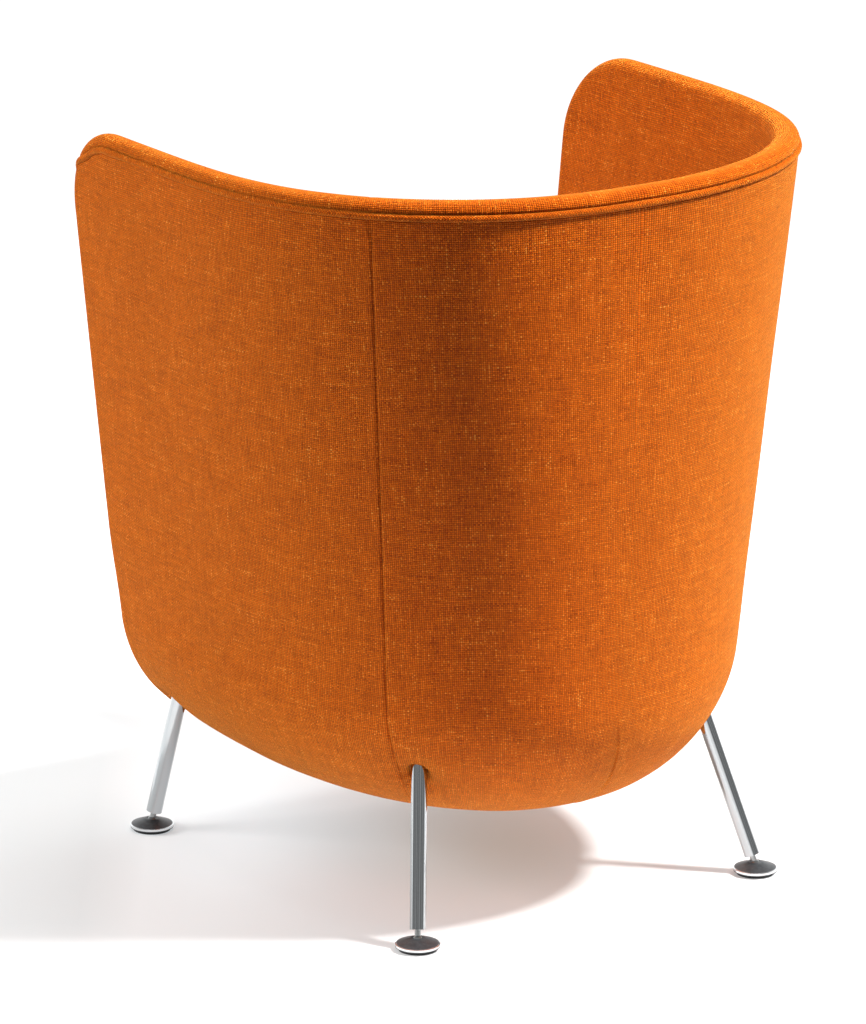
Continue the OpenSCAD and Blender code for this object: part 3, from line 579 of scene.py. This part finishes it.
# The bright band round a glide's foot, above the cone's lower face
band_low = 1.0 * mm
band_top = 3.2 * mm
band_fade = 0.3 * mm


def glide_metal(name):
    """Chrome in a band round the foot, and a deep grey satin face above it, whose even grey is a painted
    reflection of the dim surroundings that the chrome mirrors there.
    """
    g = Graph(name)
    low_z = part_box("glide_cone_rear_left")[0].z
    at = g.place()
    z = g.add("SeparateXYZ", {0: at}).outputs[2]
    smear = g.noise(at, polish_grain, 4.0)
    upper = g.ramp(z, low_z + band_top, low_z + band_top + band_fade)
    under = g.ramp(z, low_z + band_low, low_z + band_low - band_fade)
    dark = g.math("MAXIMUM", upper, under)
    rough = g.plus(0.08, g.times(dark, 0.34))
    # Painted reflection: an even deep grey, less metallic, in place of the mirrored surroundings above and
    # under the band
    painted_reflection_grey = g.mix(g.ramp(smear, 0.35, 0.65), rgb(54, 56, 58), rgb(66, 68, 70))
    colour = g.mix(dark, rgb(222, 225, 227), painted_reflection_grey)
    return g.finish(g.shader(**{
        "Base Color": colour, "Metallic": g.minus(1.0, g.times(dark, 0.8)),
        "Roughness": rough, "Normal": g.bump(smear, *polish_relief),
    }))


straight_cloth = cloth("orange cloth")
bias_cloth = cloth("orange cloth on the bias", turn=math.radians(45))
chrome = metal("polished chrome", (186, 189, 191), 0.05, 0.05)
glide_chrome = glide_metal("chromed glide")
zinc = metal("zinc plated steel", (182, 184, 184), 0.3, 0.2)
black_rubber = matte("black pad", (8, 8, 9), (20, 20, 22), 0.55)
nylon = matte("white nylon", (214, 214, 206), (230, 230, 224), 0.4)
socket_paint = matte("black paint", (22, 22, 24), (34, 34, 36), 0.4, 900.0)
moulding = matte("moulded shell", (30, 30, 33), (44, 44, 47), 0.5, 700.0)
ply = timber("plywood", (150, 112, 72), (196, 160, 116))
beech = timber("beech", (168, 124, 82), (205, 166, 124))
foam = matte("foam", (214, 198, 146), (238, 228, 184), 0.95, 1500.0, 0.5, 0.4 * mm)
wadding = matte("wadding", (222, 220, 212), (240, 238, 232), 0.95, 200.0, 0.6, 0.8 * mm)
felt = matte("felt", (96, 96, 98), (138, 138, 140), 0.95, 500.0, 0.5, 0.5 * mm)
strap = matte("webbing", (14, 14, 16), (34, 34, 38), 0.8, 900.0, 0.5, 0.4 * mm)
lining_black = matte("dust cloth", (12, 12, 13), (26, 26, 28), 0.9, 1200.0, 0.6, 0.3 * mm)

by_slot = {
    "orange_cloth": straight_cloth, "leg_chrome": chrome, "black_pad": black_rubber, "white_nylon": nylon,
    "zinc_steel": zinc, "socket_steel": socket_paint, "shell_plastic": moulding, "plywood": ply,
    "beech": beech, "foam": foam, "wadding": wadding, "felt": felt, "webbing": strap,
    "black_cloth": lining_black,
}
for part in frame["record"]["subparts"]:
    node = frame["nodes"][part["node"]]
    node.data.materials.clear()
    glide = part["node"].startswith("glide_cone")
    node.data.materials.append(glide_chrome if glide else by_slot[part["material_slot"]])


# Outer covers: three panels that meet in the two back seams and close round the legs
panel_top = 15 * mm
cover_edge = drop + arc
# The pleat: its heights, its place at the top, its run to the side and its form across
dart_top = 236 * mm
dart_low = 146 * mm
dart_start = 23 * mm
dart_run = 33 * mm
dart_step = 3.2 * mm
dart_valley = 1.3 * mm
dart_valley_w = 9 * mm
dart_ridge = 0.9 * mm
dart_ridge_w = 5 * mm
# Shares of its height at which it starts, and over which it grows
dart_first = 0.12
dart_grows = 0.7
# The back seams: their lean, how far the cloth beside them goes with it, their groove and their swell
seam_out = 3.4 * mm
seam_slope = 0.0155
seam_fade_w = 520 * mm
seam_fade = 90 * mm
seam_reach = 70 * mm
seam_deep = 1.1 * mm
seam_w = 0.5 * mm
seam_swell = 0.25 * mm
swell_off = 5 * mm
swell_w = 3.5 * mm
# The pinches beside them, below the welt
pinch_deep = 0.5 * mm
pinch_low = 24 * mm
pinch_h = 7 * mm
pinch_reach = 5 * mm
pinch_turn = 0.9
# The cloth's slack between the seams, in long and in short waves
slack_deep = 0.6 * mm
fine_slack_deep = 0.12 * mm
slack_start = 30 * mm
# The panels' edges turn in under the welt
panel_under = 0.4 * mm
panel_turn_in = 2.4 * mm
panel_turn_off = 0.6 * mm
panel_turn_w = 5 * mm
# The holes for the legs: the cloth is drawn up round them
hole_reach = 45 * mm
hole_top = 230 * mm
hole_dip = 5 * mm
hole_edge = 8.4 * mm
hole_lip = 4.2 * mm
hole_slope = 14 * mm
hole_pucker = 0.7 * mm
hole_fine = 34 * mm
hole_low = 60 * mm
hole_gap = 0.3 * mm
# Width of the strip under the front
strip_w = 62 * mm


def bell(x, middle, width):
    """A round bump, 1 at its middle."""
    return math.exp(-((x - middle) / width) ** 2)


def dart(q_all, z):
    """The stitched pleat at the bottom of the back: a crease that deepens downward."""
    share = min(max((dart_top - z) / (dart_top - dart_low), 0), 1.25)
    off = q_all - (q_mid - dart_start + dart_run * share)
    step = smooth(off / dart_step + 0.5)
    valley = dart_valley * math.exp(min(off, 0) / dart_valley_w)
    ridge = dart_ridge * math.exp(-max(off, 0) / dart_ridge_w)
    return smooth((share - dart_first) / dart_grows) * (valley * (1 - step) - ridge * step)


def seam_lean(w):
    """How far the back seam strays from its even line: outward at the top, inward lower down."""
    return (seam_out - seam_slope * w) * (1 - smooth((w - seam_fade_w) / seam_fade))


def panel_sink(off):
    """How far a panel lies below the roll at the distance off from the welt."""
    return panel_under + panel_turn_in * (1 - smooth((off + panel_turn_off) / panel_turn_w))


def seam_and_slack(q_all, q, w, e):
    """How far in the cloth lies for the seam, the pinches at its top and the slack between."""
    off = abs(q - q_seam - seam_lean(w))
    seam = seam_deep * math.exp(-off / seam_w) - seam_swell * bell(off, swell_off, swell_w)
    top = bell(e, pinch_low, pinch_h)
    pinch = pinch_deep * top * math.cos(off * pinch_turn / mm) * math.exp(-off / pinch_reach)
    slack = noise.noise(Vector((q_all * 7, w * 5, 3.3))) * slack_deep
    slack += noise.noise(Vector((q_all * 22, w * 14, 9.1))) * fine_slack_deep
    return seam - pinch - slack * min(e / slack_start, 1)


def outer_place(q_all, w):
    """A point of the outer cover, with its seams, pleat and leg holes."""
    low_z = under_h + under_r * (1 - math.sin(min(max(w - drop, 0) / under_r, math.pi / 2)))
    z = rim_h - w if w < drop else low_z
    lean = seam_lean(w) * bell(from_front(q_all), q_seam, seam_reach)
    q_all += lean if q_all < q_mid else -lean
    p, uv = wrapped(q_all, w, 1, panel_sink,
                    lambda q, e, _: seam_and_slack(q_all, q, w, e) + dart(q_all, z))
    flat = p - plan_shift
    for name in legs:
        gap, way = axis_gap(flat, name)
        if gap < hole_reach and flat.z < hole_top:
            _, up = leg_axis(name)
            lip = 1 - smooth((gap - hole_edge) / hole_lip)
            dip = hole_dip * (lip + bell(gap, leg_r, hole_slope))
            pucker = hole_pucker * math.cos(5 * way + 1) * bell(gap, 2 * leg_r, leg_r)
            p = p + up * (dip + pucker)
    return p, uv


def leg_spot(name):
    """Where a leg passes through the cover: its length round the tub and its drop."""
    best = None
    side = 1 if legs[name][0] > 0 else -1
    across_n, down_n = 120, 60
    for i in range(across_n):
        for j in range(down_n):
            q, w = q_mid * i / across_n, drop + arc * j / down_n
            p, _ = tub(on_side(q, side), w, lambda *_: 0)
            gap, _ = axis_gap(p - plan_shift, name)
            if best is None or gap < best[0]:
                best = (gap, on_side(q, side), w)
    return best[1], best[2]


leg_spots = {name: leg_spot(name) for name in legs}


def rounded_edge(steps, last):
    """Places that go round the rolled edge in even steps, up to last."""
    turn = math.acos(1 - min(last / roll_r, 1))
    places = [roll_r * (1 - math.cos(turn * k / steps)) for k in range(steps + 1)]
    return places + [last] if last > roll_r else places


def edge_run(e):
    """Length over the roll from its crest to the edge distance e."""
    return roll_r * math.acos(1 - min(max(e / roll_r, 0), 1)) + max(e - roll_r, 0)


def outer_panel(name, start, end, replaced):
    """One panel of the outer cover, from start to end round the tub."""
    bm = bmesh.new()
    seams = [f for f in (q_seam, right_seam) if start - mm < f < end + mm]
    folds = [q_mid - k * mm for k in (22, 16, 10, 4, -2, -8)]
    first, last = max(start, roll_r), min(end, 2 * q_mid - roll_r)
    xs = stations(first, last, 5 * mm, seams + folds, 0.8 * mm, 3.5 * mm)
    edge = rounded_edge(9, roll_r)
    if start < roll_r:
        xs = edge[:-1] + xs
    if end > 2 * q_mid - roll_r:
        xs += [2 * q_mid - e for e in reversed(edge[:-1])]
    ys = edge[:-1] + stations(roll_r, cover_edge, 5 * mm, [panel_top], 1.5 * mm, 8 * mm)
    spots = [(spot, hole_fine) for spot in leg_spots.values()
             if start - hole_fine < spot[0] < end + hole_fine]

    def beyond_welt(x, y):
        q = from_front(x)
        return edge_run(min(q, y)) > welt_run(q, y) - mm

    def strip_place(x, y):
        return wrapped(x, y, 1, panel_sink, lambda q, e, z: seam_and_slack(x, q, y, e))

    sheet(bm, xs, ys, outer_place, keep=beyond_welt, close=spots)
    if start < q_seam - mm or end > right_seam + mm:
        # The strip under the front, from the side to the middle
        side = 1 if start < q_seam - mm else -1
        xs = [x for x in xs if on_side(x, side) < strip_w]
        sheet(bm, xs, [cover_edge + front_half * k / 24 for k in range(25)], strip_place)
    gone = []
    for f in bm.faces:
        middle = f.calc_center_median()
        flat = middle - plan_shift
        if middle.z > hole_low and any(axis_gap(flat, n)[0] < leg_r + hole_gap for n in legs):
            gone.append(f)
    bmesh.ops.delete(bm, geom=gone, context="FACES")
    obj = finished(bm, name, "orange_cloth", straight_cloth, *replaced)


outer_panel("outer_panel_left", 0, q_seam, ["outer_cover_left"])
outer_panel("outer_panel_back", q_seam, right_seam, ["outer_cover_back", "outer_wadding"])
outer_panel("outer_panel_right", right_seam, 2 * q_mid, ["outer_cover_right"])


# Lining: one cloth over the rolled rim and front edges and down the inside
roll_edge = 13.4 * mm
lining_low = drop - (deck_h - round_h)
lining_start = 14 * mm
lining_step = 8 * mm
return_w = 30 * mm
rim_spread = 4.5 * mm
spread_fade = 70 * mm
lining_under = 2.8 * mm
lining_turn_off = 6.2 * mm
lining_turn_w = 4 * mm
lining_soft = 0.5 * mm
inner_seam = 1.4 * mm
inner_seam_w = 1.8 * mm


def lining_sink(off):
    """How far the lining lies below the roll at the distance off from the welt."""
    return lining_under * smooth((off + lining_turn_off) / lining_turn_w)


def lining_outside(q_all, w):
    return wrapped(q_all, w, 1, lining_sink)


def lining_inside(q_all, w):
    def more(q, e, z):
        soft = noise.noise(Vector((q_all * 9, w * 7, 5.0))) * lining_soft
        seam = inner_seam * math.exp(-abs(q - q_seam) / inner_seam_w)
        return padding(q, e, z) - seam + soft * min(e / roll_r, 1)

    low = smooth((w - roll_r) / spread_fade)
    return wrapped(q_all, w, -1, lining_sink, more, rim_spread * (1 - low))


def lining():
    """The lining, with its outer half as far as the welt."""
    bm = bmesh.new()
    edge = rounded_edge(9, roll_edge)
    seams = [q_seam, right_seam]
    inside = edge[:-1] + stations(lining_start, q_seam, lining_step, [q_seam])[:-1]
    middle = stations(q_seam, right_seam, lining_step, seams)
    xs = inside + middle + [2 * q_mid - q for q in reversed(inside)]
    down = stations(lining_start, cover_edge, lining_step)
    ys = edge[:-1] + down + [cover_edge + front_half * k / 20 for k in range(1, 21)]

    def to_welt(x, y):
        e = min(from_front(x), y)
        return e < lining_start and edge_run(e) < welt_run(from_front(x), y) + mm

    def above_deck(x, y):
        return y < lining_low or from_front(x) < return_w

    sheet(bm, xs, ys, lining_outside, keep=to_welt)
    sheet(bm, xs, ys, lining_inside, keep=above_deck)
    obj = finished(bm, "lining", "orange_cloth", straight_cloth, "inner_cover", "inner_foam", "edge_roll")
    soft = obj.modifiers.new("soft", "SUBSURF")
    soft.levels = soft.render_levels = 1


lining()


# Welt: a covered cord along the whole free edge
def tube(bm, path, outs, radius):
    """A closed tube along path; outs are directions square to it."""
    n, around = len(path), 14
    lengths_so_far = [0.0]
    for k in range(n):
        lengths_so_far.append(lengths_so_far[-1] + (path[(k + 1) % n] - path[k]).length)

    def place(x, y):
        k = round(x) % n
        ahead = (path[(k + 1) % n] - path[k - 1]).normalized()
        b = ahead.cross(outs[k]).normalized()
        o = b.cross(ahead)
        a = 2 * math.pi * y / around
        p = path[k] + (o * math.cos(a) + b * math.sin(a)) * radius
        return p, (lengths_so_far[round(x)], radius * a)

    sheet(bm, list(range(n + 1)), list(range(around + 1)), place)


welt_step = 5 * mm
welt_wave = 0.3 * mm
welt_bury = 2.0 * mm
welt_rise = 20 * mm


def welt():
    """The cord along the rim, round the corners and down the fronts, where it lies buried."""
    down = stations(welt_level, cover_edge + front_half, welt_step)
    along = stations(welt_level, q_mid, welt_step)[1:]
    half = [(welt_level, w) for w in reversed(down)] + [(q, welt_level) for q in along]
    path, outs = [], []
    for k, (q, w) in enumerate(half + half[-2:0:-1]):
        side = 1 if k < len(half) else -1
        run = welt_run(q, w)
        a = min(run / roll_r, math.pi / 2)
        wave = noise.noise(Vector((q * 40 * side, w * 40, 0))) * welt_wave
        wave += welt_bury * (1 - smooth(run / welt_rise))
        ends = []
        for sunk in (welt_depth + wave, welt_depth + wave - mm):
            r = roll_r - sunk
            at, low = across(q, w, roll_r - r * math.cos(a) + max(run - roll_r * math.pi / 2, 0))
            ends.append(tub(on_side(at, side), low, lambda *_: roll_r - r * math.sin(a))[0])
        path.append(ends[0])
        outs.append((ends[1] - ends[0]).normalized())
    bm = bmesh.new()
    tube(bm, path, outs, welt_r)
    finished(bm, "welt", "orange_cloth", bias_cloth, "welt_cord")


welt()


# Seat cushion: a boxed cushion, drawn in and then puffed up by a short cloth simulation.
# Its sides follow the lining as far as this from the arms' front edges
seat_first = 30 * mm
seat_shrink = 5 * mm
seat_voxel = 6 * mm
seat_pressure = 4.0
puff_frames = 20
# No point of it moves further than this
seat_cap = 9 * mm
seat_groove = 2.0 * mm
seat_groove_w = 3.5 * mm
seat_lift = 0.3 * mm
seat_bevel = 8 * mm
# Radius by which the cloth is measured round the cushion's sides
seat_round = 260 * mm


def seat_side(q, z, d):
    """A point of the cushion's side, d inside the lining."""
    t = 2 * roll_r + padding(q, min(q, corner_r), z) + cover_gap + d
    return back_pt(angle_at(q), z, t) if q > arm_reach else arm_pt(q - arm_reach, z, t)


def seat_outline(z, d):
    """Half the seat's outline, from the middle of the back to the middle of the front."""
    steps = 44
    pts = [seat_side(q_mid + (seat_first - q_mid) * k / steps, z, d) for k in range(steps + 1)]
    w, r = pts[-1].x, seat_corner_r - d
    cx, cy = w - r, -seat_front_d + seat_corner_r
    for k in range(9):
        a = math.pi * k / 16
        pts.append(Vector((cx + r * math.cos(a), cy - r * math.sin(a), z)))
    for k in range(1, 13):
        s = 1 - k / 12
        pts.append(Vector((cx * s, -seat_front_d + d - seat_bow * (1 - s * s), z)))
    return pts


def seat_mesh(shrink):
    """The cushion before it is puffed up, all faces moved in by shrink."""
    edge_h = seat_h - seat_crown - shrink
    profile = [(seat_bevel, seat_low + shrink), (0, seat_low + seat_bevel + shrink)]
    profile += [(0, seat_low + (edge_h - seat_edge_r - seat_low) * k / 5) for k in range(2, 6)]
    profile += [(seat_edge_r * (1 - math.cos(a)), edge_h - seat_edge_r * (1 - math.sin(a)))
                for a in [math.pi / 8 * k for k in range(1, 5)]]
    rings = []
    for d, z in profile:
        half = seat_outline(z, d + shrink)
        rings.append(half + [Vector((-p.x, p.y, p.z)) for p in reversed(half[1:-1])])
    base, top = rings[0], rings[-1]
    middle = Vector((0, sum(p.y for p in top) / len(top), edge_h))

    def shrunk(ring, s, z):
        return [Vector((p.x * s, middle.y + (p.y - middle.y) * s, z)) for p in ring]

    for k in range(1, 9):
        s = 1 - k / 8
        rings.append(shrunk(top, s, edge_h + seat_crown * (1 - s * s)))
    rings = [shrunk(base, s, base[0].z) for s in (0, 0.35, 0.7)] + rings
    n = len(top)

    def place(x, y):
        p = rings[round(y)][round(x) % n]
        return p + plan_shift, (0, 0)

    bm = bmesh.new()
    sheet(bm, list(range(n + 1)), list(range(len(rings))), place)
    return bm


def evaluated(obj):
    """The mesh with its modifiers applied."""
    return bpy.data.meshes.new_from_object(obj.evaluated_get(bpy.context.evaluated_depsgraph_get()))


def puffed(bm, name):
    """Remeshes a closed shape and lets cloth pressure fill it."""
    bmesh.ops.remove_doubles(bm, verts=bm.verts, dist=0.2 * mm)
    bmesh.ops.recalc_face_normals(bm, faces=bm.faces)
    obj = link(bm, name)
    remesh = obj.modifiers.new("remesh", "REMESH")
    remesh.mode = "VOXEL"
    remesh.voxel_size = seat_voxel
    mesh = evaluated(obj)
    obj.modifiers.clear()
    obj.data = mesh
    rest = [v.co.copy() for v in mesh.vertices]
    puff = obj.modifiers.new("puff", "CLOTH")
    puff.settings.use_pressure = True
    puff.settings.uniform_pressure_force = seat_pressure
    puff.settings.effector_weights.gravity = 0
    puff.settings.tension_stiffness = 20
    puff.settings.bending_stiffness = 3
    puff.point_cache.frame_end = puff_frames
    for f in range(1, puff_frames + 1):
        scene.frame_set(f)
    moved = [v.co.copy() for v in evaluated(obj).vertices]
    obj.modifiers.clear()
    for v, a, b in zip(obj.data.vertices, rest, moved):
        step = b - a
        v.co = a + step * min(1, seat_cap / max(step.length, 1e-9))
    scene.frame_set(1)
    return obj


def seat():
    """The cushion, flat below, with a sewn groove round its upper edge."""
    obj = puffed(seat_mesh(seat_shrink), "seat_cushion")
    mesh = obj.data
    seam_z = seat_h - seat_crown - seat_edge_r * 0.45
    flat_z = seat_low + seat_lift
    bm = bmesh.new()
    bm.from_mesh(mesh)
    bm.normal_update()
    middle = Vector((0, plan_y + 50 * mm, 0))
    uv = bm.loops.layers.uv.new("cloth")
    for v in bm.verts:
        v.co.z = max(v.co.z, flat_z)
        if abs(v.normal.z) < 0.8:
            v.co -= v.normal * seat_groove * bell(v.co.z, seam_z, seat_groove_w)
    for f in bm.faces:
        up = abs(f.normal.z) > 0.62
        for loop in f.loops:
            p = loop.vert.co
            way = math.atan2(p.x, middle.y - p.y)
            loop[uv].uv = (p.x, p.y) if up else (way * seat_round, p.z)
    bm.to_mesh(mesh)
    bm.free()
    for face in mesh.polygons:
        face.use_smooth = True
    mesh.materials.append(straight_cloth)
    soft = obj.modifiers.new("soft", "SUBSURF")
    soft.levels = soft.render_levels = 1
    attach(obj, "root")
    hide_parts("seat_cover", "seat_foam")


seat()


# Front: a padded panel under the cushion, turned back at its edges
apron_gap = 3.2 * mm
apron_behind = 1.2 * mm
apron_edge = 9 * mm
apron_puff = 1.5 * mm
apron_wave = 0.5 * mm
apron_t = 2 * mm


def apron():
    """The panel, as wide as the lining lets it be at each height."""
    low_box, high_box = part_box("front_cover")
    gap = 2 * roll_r + apron_gap
    top = high_box.z - cover_gap
    bottom = under_h + gap
    front_y = low_box.y + apron_behind

    def half_at(z):
        y = -(arm_reach - roll_r)
        if z >= round_h:
            return arm_pt(y, z, gap).x
        share = min(max(1 - (z - bottom) / (under_r - gap), 0), 1)
        inset = (under_r - gap) * (1 - math.sqrt(max(1 - share * share, 0)))
        return arm_pt(y, z, gap + inset).x

    steps = 56
    heights = [round_h + (top - round_h) * (1 - k / 14) for k in range(14)]
    heights += [bottom + (under_r - gap) * (1 - math.sin(math.pi / 2 * k / 26)) for k in range(27)]

    def place(x, y):
        z = heights[round(y)]
        s = 1 - 2 * x / steps
        s = math.sin(s * math.pi / 2) * 0.35 + s * 0.65
        edge = min((1 - abs(s)) * half_at(z), top - z, z - bottom)
        back = apron_edge * (1 - math.sqrt(max(1 - (1 - min(edge / apron_edge, 1)) ** 2, 0)))
        puff = apron_puff * math.sin(math.pi * min(max((top - z) / (top - bottom), 0), 1)) * (1 - s ** 4)
        wave = noise.noise(Vector((s * 2, z * 9, 1))) * apron_wave
        return Vector((s * half_at(z), front_y + back - puff + wave, z)), (s * half_at(z), z)

    bm = bmesh.new()
    sheet(bm, list(range(steps + 1)), list(range(len(heights))), place)
    obj = finished(bm, "front_panel", "orange_cloth", straight_cloth, "front_cover", "front_pad")
    thick = obj.modifiers.new("thick", "SOLIDIFY")
    thick.thickness = apron_t
    thick.offset = -1


apron()


# Dust cover: a thin black cloth, stapled along its turned edge, a little slack
dust_lap = 12 * mm
dust_front = corner_r * 0.64
dust_below = 0.9 * mm
dust_sag = 3.2 * mm
dust_wave = 0.5 * mm


def dust_cloth():
    """The dust cloth, laid out from the middle of the back to the front, and across."""
    low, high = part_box("dust_cover")
    d = under_r - dust_lap
    steps, rows = 60, 40
    side = []
    for k in range(steps + 1):
        q = q_mid + (dust_front - q_mid) * k / steps
        side.append(back_pt(angle_at(q), under_h, d) if q > arm_reach else arm_pt(q - arm_reach, under_h, d))

    def place(x, y):
        p = side[round(x)]
        s = 1 - 2 * y / rows
        share = 1 - abs(s) ** 3
        along = math.sin(math.pi * min(max(round(x) / steps, 0), 1))
        sag = dust_sag * share * along + dust_wave * noise.noise(Vector((p.x * s * 30, p.y * 30, 0)))
        at = Vector((p.x * s, p.y + plan_y, high.z - dust_below - max(sag, 0)))
        return at, (at.x, at.y)

    bm = bmesh.new()
    sheet(bm, list(range(steps + 1)), list(range(rows + 1)), place)
    area = sum(f.calc_area() for f in bm.faces)
    obj = finished(bm, "dust_cloth", "black_cloth", lining_black, "dust_cover")


dust_cloth()


# Stage: a plain pale floor, soft lights and the camera
view_az = math.radians(146.654)
view_right = Vector((math.cos(view_az), math.sin(view_az), 0))
view_back = Vector((0.5272, 0.8012, 0.2831)).normalized()
flat_back = Vector((view_back.x, view_back.y, 0)).normalized()
aim = Vector((-4.23 * mm, 2.78 * mm + plan_y, 338.7 * mm))
# Camera: its distance, and its focal length in pixels of a picture with this longer side
camera_far = 6.8633
focal_px = 6804.6
image_px = 1024
sensor_mm = 36
# Floor: its radius, how far it reaches toward the camera, and what it glows: an even glow, then painted fill
# light, painted bounce light from the cloth and a painted shadow
floor_r = 1.9
floor_front = 1.1
floor_below = 0.1 * mm
floor_glow = (0.32, 0.32, 0.32, 1)
painted_fill_glow = (0.48, 0.53, 0.55, 1)
painted_bounce_glow = (0.31, 0.235, 0.19, 1)
painted_shadow_glow = (0.22, 0.245, 0.25, 1)


def stage():
    """The floor: a wide round that ends a little in front of the chair, toward the camera."""
    bm = bmesh.new()
    bmesh.ops.create_circle(bm, cap_ends=True, segments=128, radius=floor_r)
    middle = Vector((aim.x, aim.y, -floor_below)) - flat_back * (floor_r - floor_front)
    bmesh.ops.translate(bm, verts=bm.verts, vec=middle)
    floor = link(bm, "floor")
    g = Graph("floor")
    at = g.add("VectorMath", {0: g.place(), 1: tuple(aim)}, operation="SUBTRACT").outputs[0]
    across_it, along_it = g.along(at, view_right), g.along(at, flat_back)

    def patch(x, y, wide, deep):
        """A soft round patch of the floor, 1 at its middle, placed across and toward the camera."""
        a = g.math("DIVIDE", g.minus(across_it, x), wide)
        b = g.math("DIVIDE", g.minus(along_it, y), deep)
        square = g.plus(g.times(a, a), g.times(b, b))
        return g.math("EXPONENT", g.times(square, -1.0))

    # Painted light and shade in the floor's glow: painted bounce light that the cloth throws under the chair,
    # painted fill light beside it and the painted pale shadow at the left
    glow = g.mix(patch(-0.20, 0.02, 0.11, 0.22), floor_glow, painted_fill_glow)
    glow = g.mix(patch(0.07, 0.06, 0.12, 0.20), glow, painted_bounce_glow)
    edge = g.times(g.ramp(across_it, -0.29, -0.35), g.ramp(along_it, -0.62, -0.3))
    edge = g.times(edge, g.ramp(along_it, 0.4, 0.28))
    glow = g.mix(edge, glow, painted_shadow_glow)
    floor.data.materials.append(g.finish(g.shader(**{
        "Base Color": (0.5, 0.5, 0.5, 1), "Roughness": 0.7, "Specular IOR Level": 0.1,
        "Emission Color": glow, "Emission Strength": 1.0,
    })))


def studio():
    """The light from all sides, and what polished parts mirror."""
    scene.world = bpy.data.worlds.new("studio")
    g = Graph("studio", world=True)
    way = g.add("TexCoord").outputs["Generated"]
    toward = g.along(way, view_back)
    up = g.add("SeparateXYZ", {0: way}).outputs[2]
    sides = g.ramp(toward, 0.75, -0.2)
    level = g.math("MAXIMUM", g.times(sides, 0.55), g.times(g.ramp(up, 0.45, 0.9), 0.3))
    diffuse = g.plus(0.13, level)
    # In mirrors: a pale floor and back wall, and dark upright panels above on the camera's side
    round_it = g.math("ARCTAN2", g.along(way, view_right), toward)
    stripes = g.noise(g.vector(g.times(round_it, 4.2)), 1.0, 3.0, 0.7)
    panels_ahead = g.plus(0.1, g.times(g.ramp(stripes, 0.42, 0.64), 0.5))
    above = g.ramp(up, 0.0, 0.1)
    behind = g.ramp(toward, -0.3, -0.6)
    pale = g.times(g.math("MAXIMUM", g.minus(1.0, above), behind), 1.4)
    mirrored = g.math("MAXIMUM", panels_ahead, pale)
    rays = g.add("LightPath")
    light = g.either(rays.outputs["Is Glossy Ray"], diffuse, mirrored)
    strength = g.math("MAXIMUM", light, g.times(rays.outputs["Is Camera Ray"], 1.1))
    background = g.add("Background", {"Color": (1, 1, 1, 1), "Strength": strength})
    g.add("OutputWorld", {"Surface": background.outputs[0]})


def area_light(name, right, toward, up, size, power, level=False):
    """A round light that shines at the aim, or straight up where level is set.
    It stands so far to the right of the aim, toward the camera and up."""
    data = bpy.data.lights.new(name, "AREA")
    data.shape = "DISK"
    data.size = size
    data.energy = power
    obj = bpy.data.objects.new(name, data)
    scene.collection.objects.link(obj)
    obj.location = aim + view_right * right + flat_back * toward + Vector((0, 0, up))
    obj.visible_glossy = False
    obj.visible_camera = False
    way = Vector((0, 0, 1)) if level else aim - obj.location
    obj.rotation_euler = way.to_track_quat("-Z", "Y").to_euler()


def camera():
    """The camera, as it was fitted to the photograph's outlines."""
    data = bpy.data.cameras.new("camera")
    data.sensor_fit = "AUTO"
    data.sensor_width = sensor_mm
    data.lens = focal_px / image_px * sensor_mm
    data.clip_end = 60
    obj = bpy.data.objects.new("camera", data)
    scene.collection.objects.link(obj)
    up = view_back.cross(view_right)
    turn = Matrix((view_right, up, view_back)).transposed().to_4x4()
    obj.matrix_world = Matrix.Translation(aim + view_back * camera_far) @ turn
    scene.camera = obj


stage()
studio()
area_light("key", 3.0, 0.4, 3.7, 0.6, 520)
area_light("fill", -5.2, 0.3, 1.7, 2.8, 335)
area_light("top", 0.0, -0.5, 3.4, 2.6, 85)
area_light("bounce", 0.6, 0.1, -0.33, 1.5, 5.5, level=True)
camera()
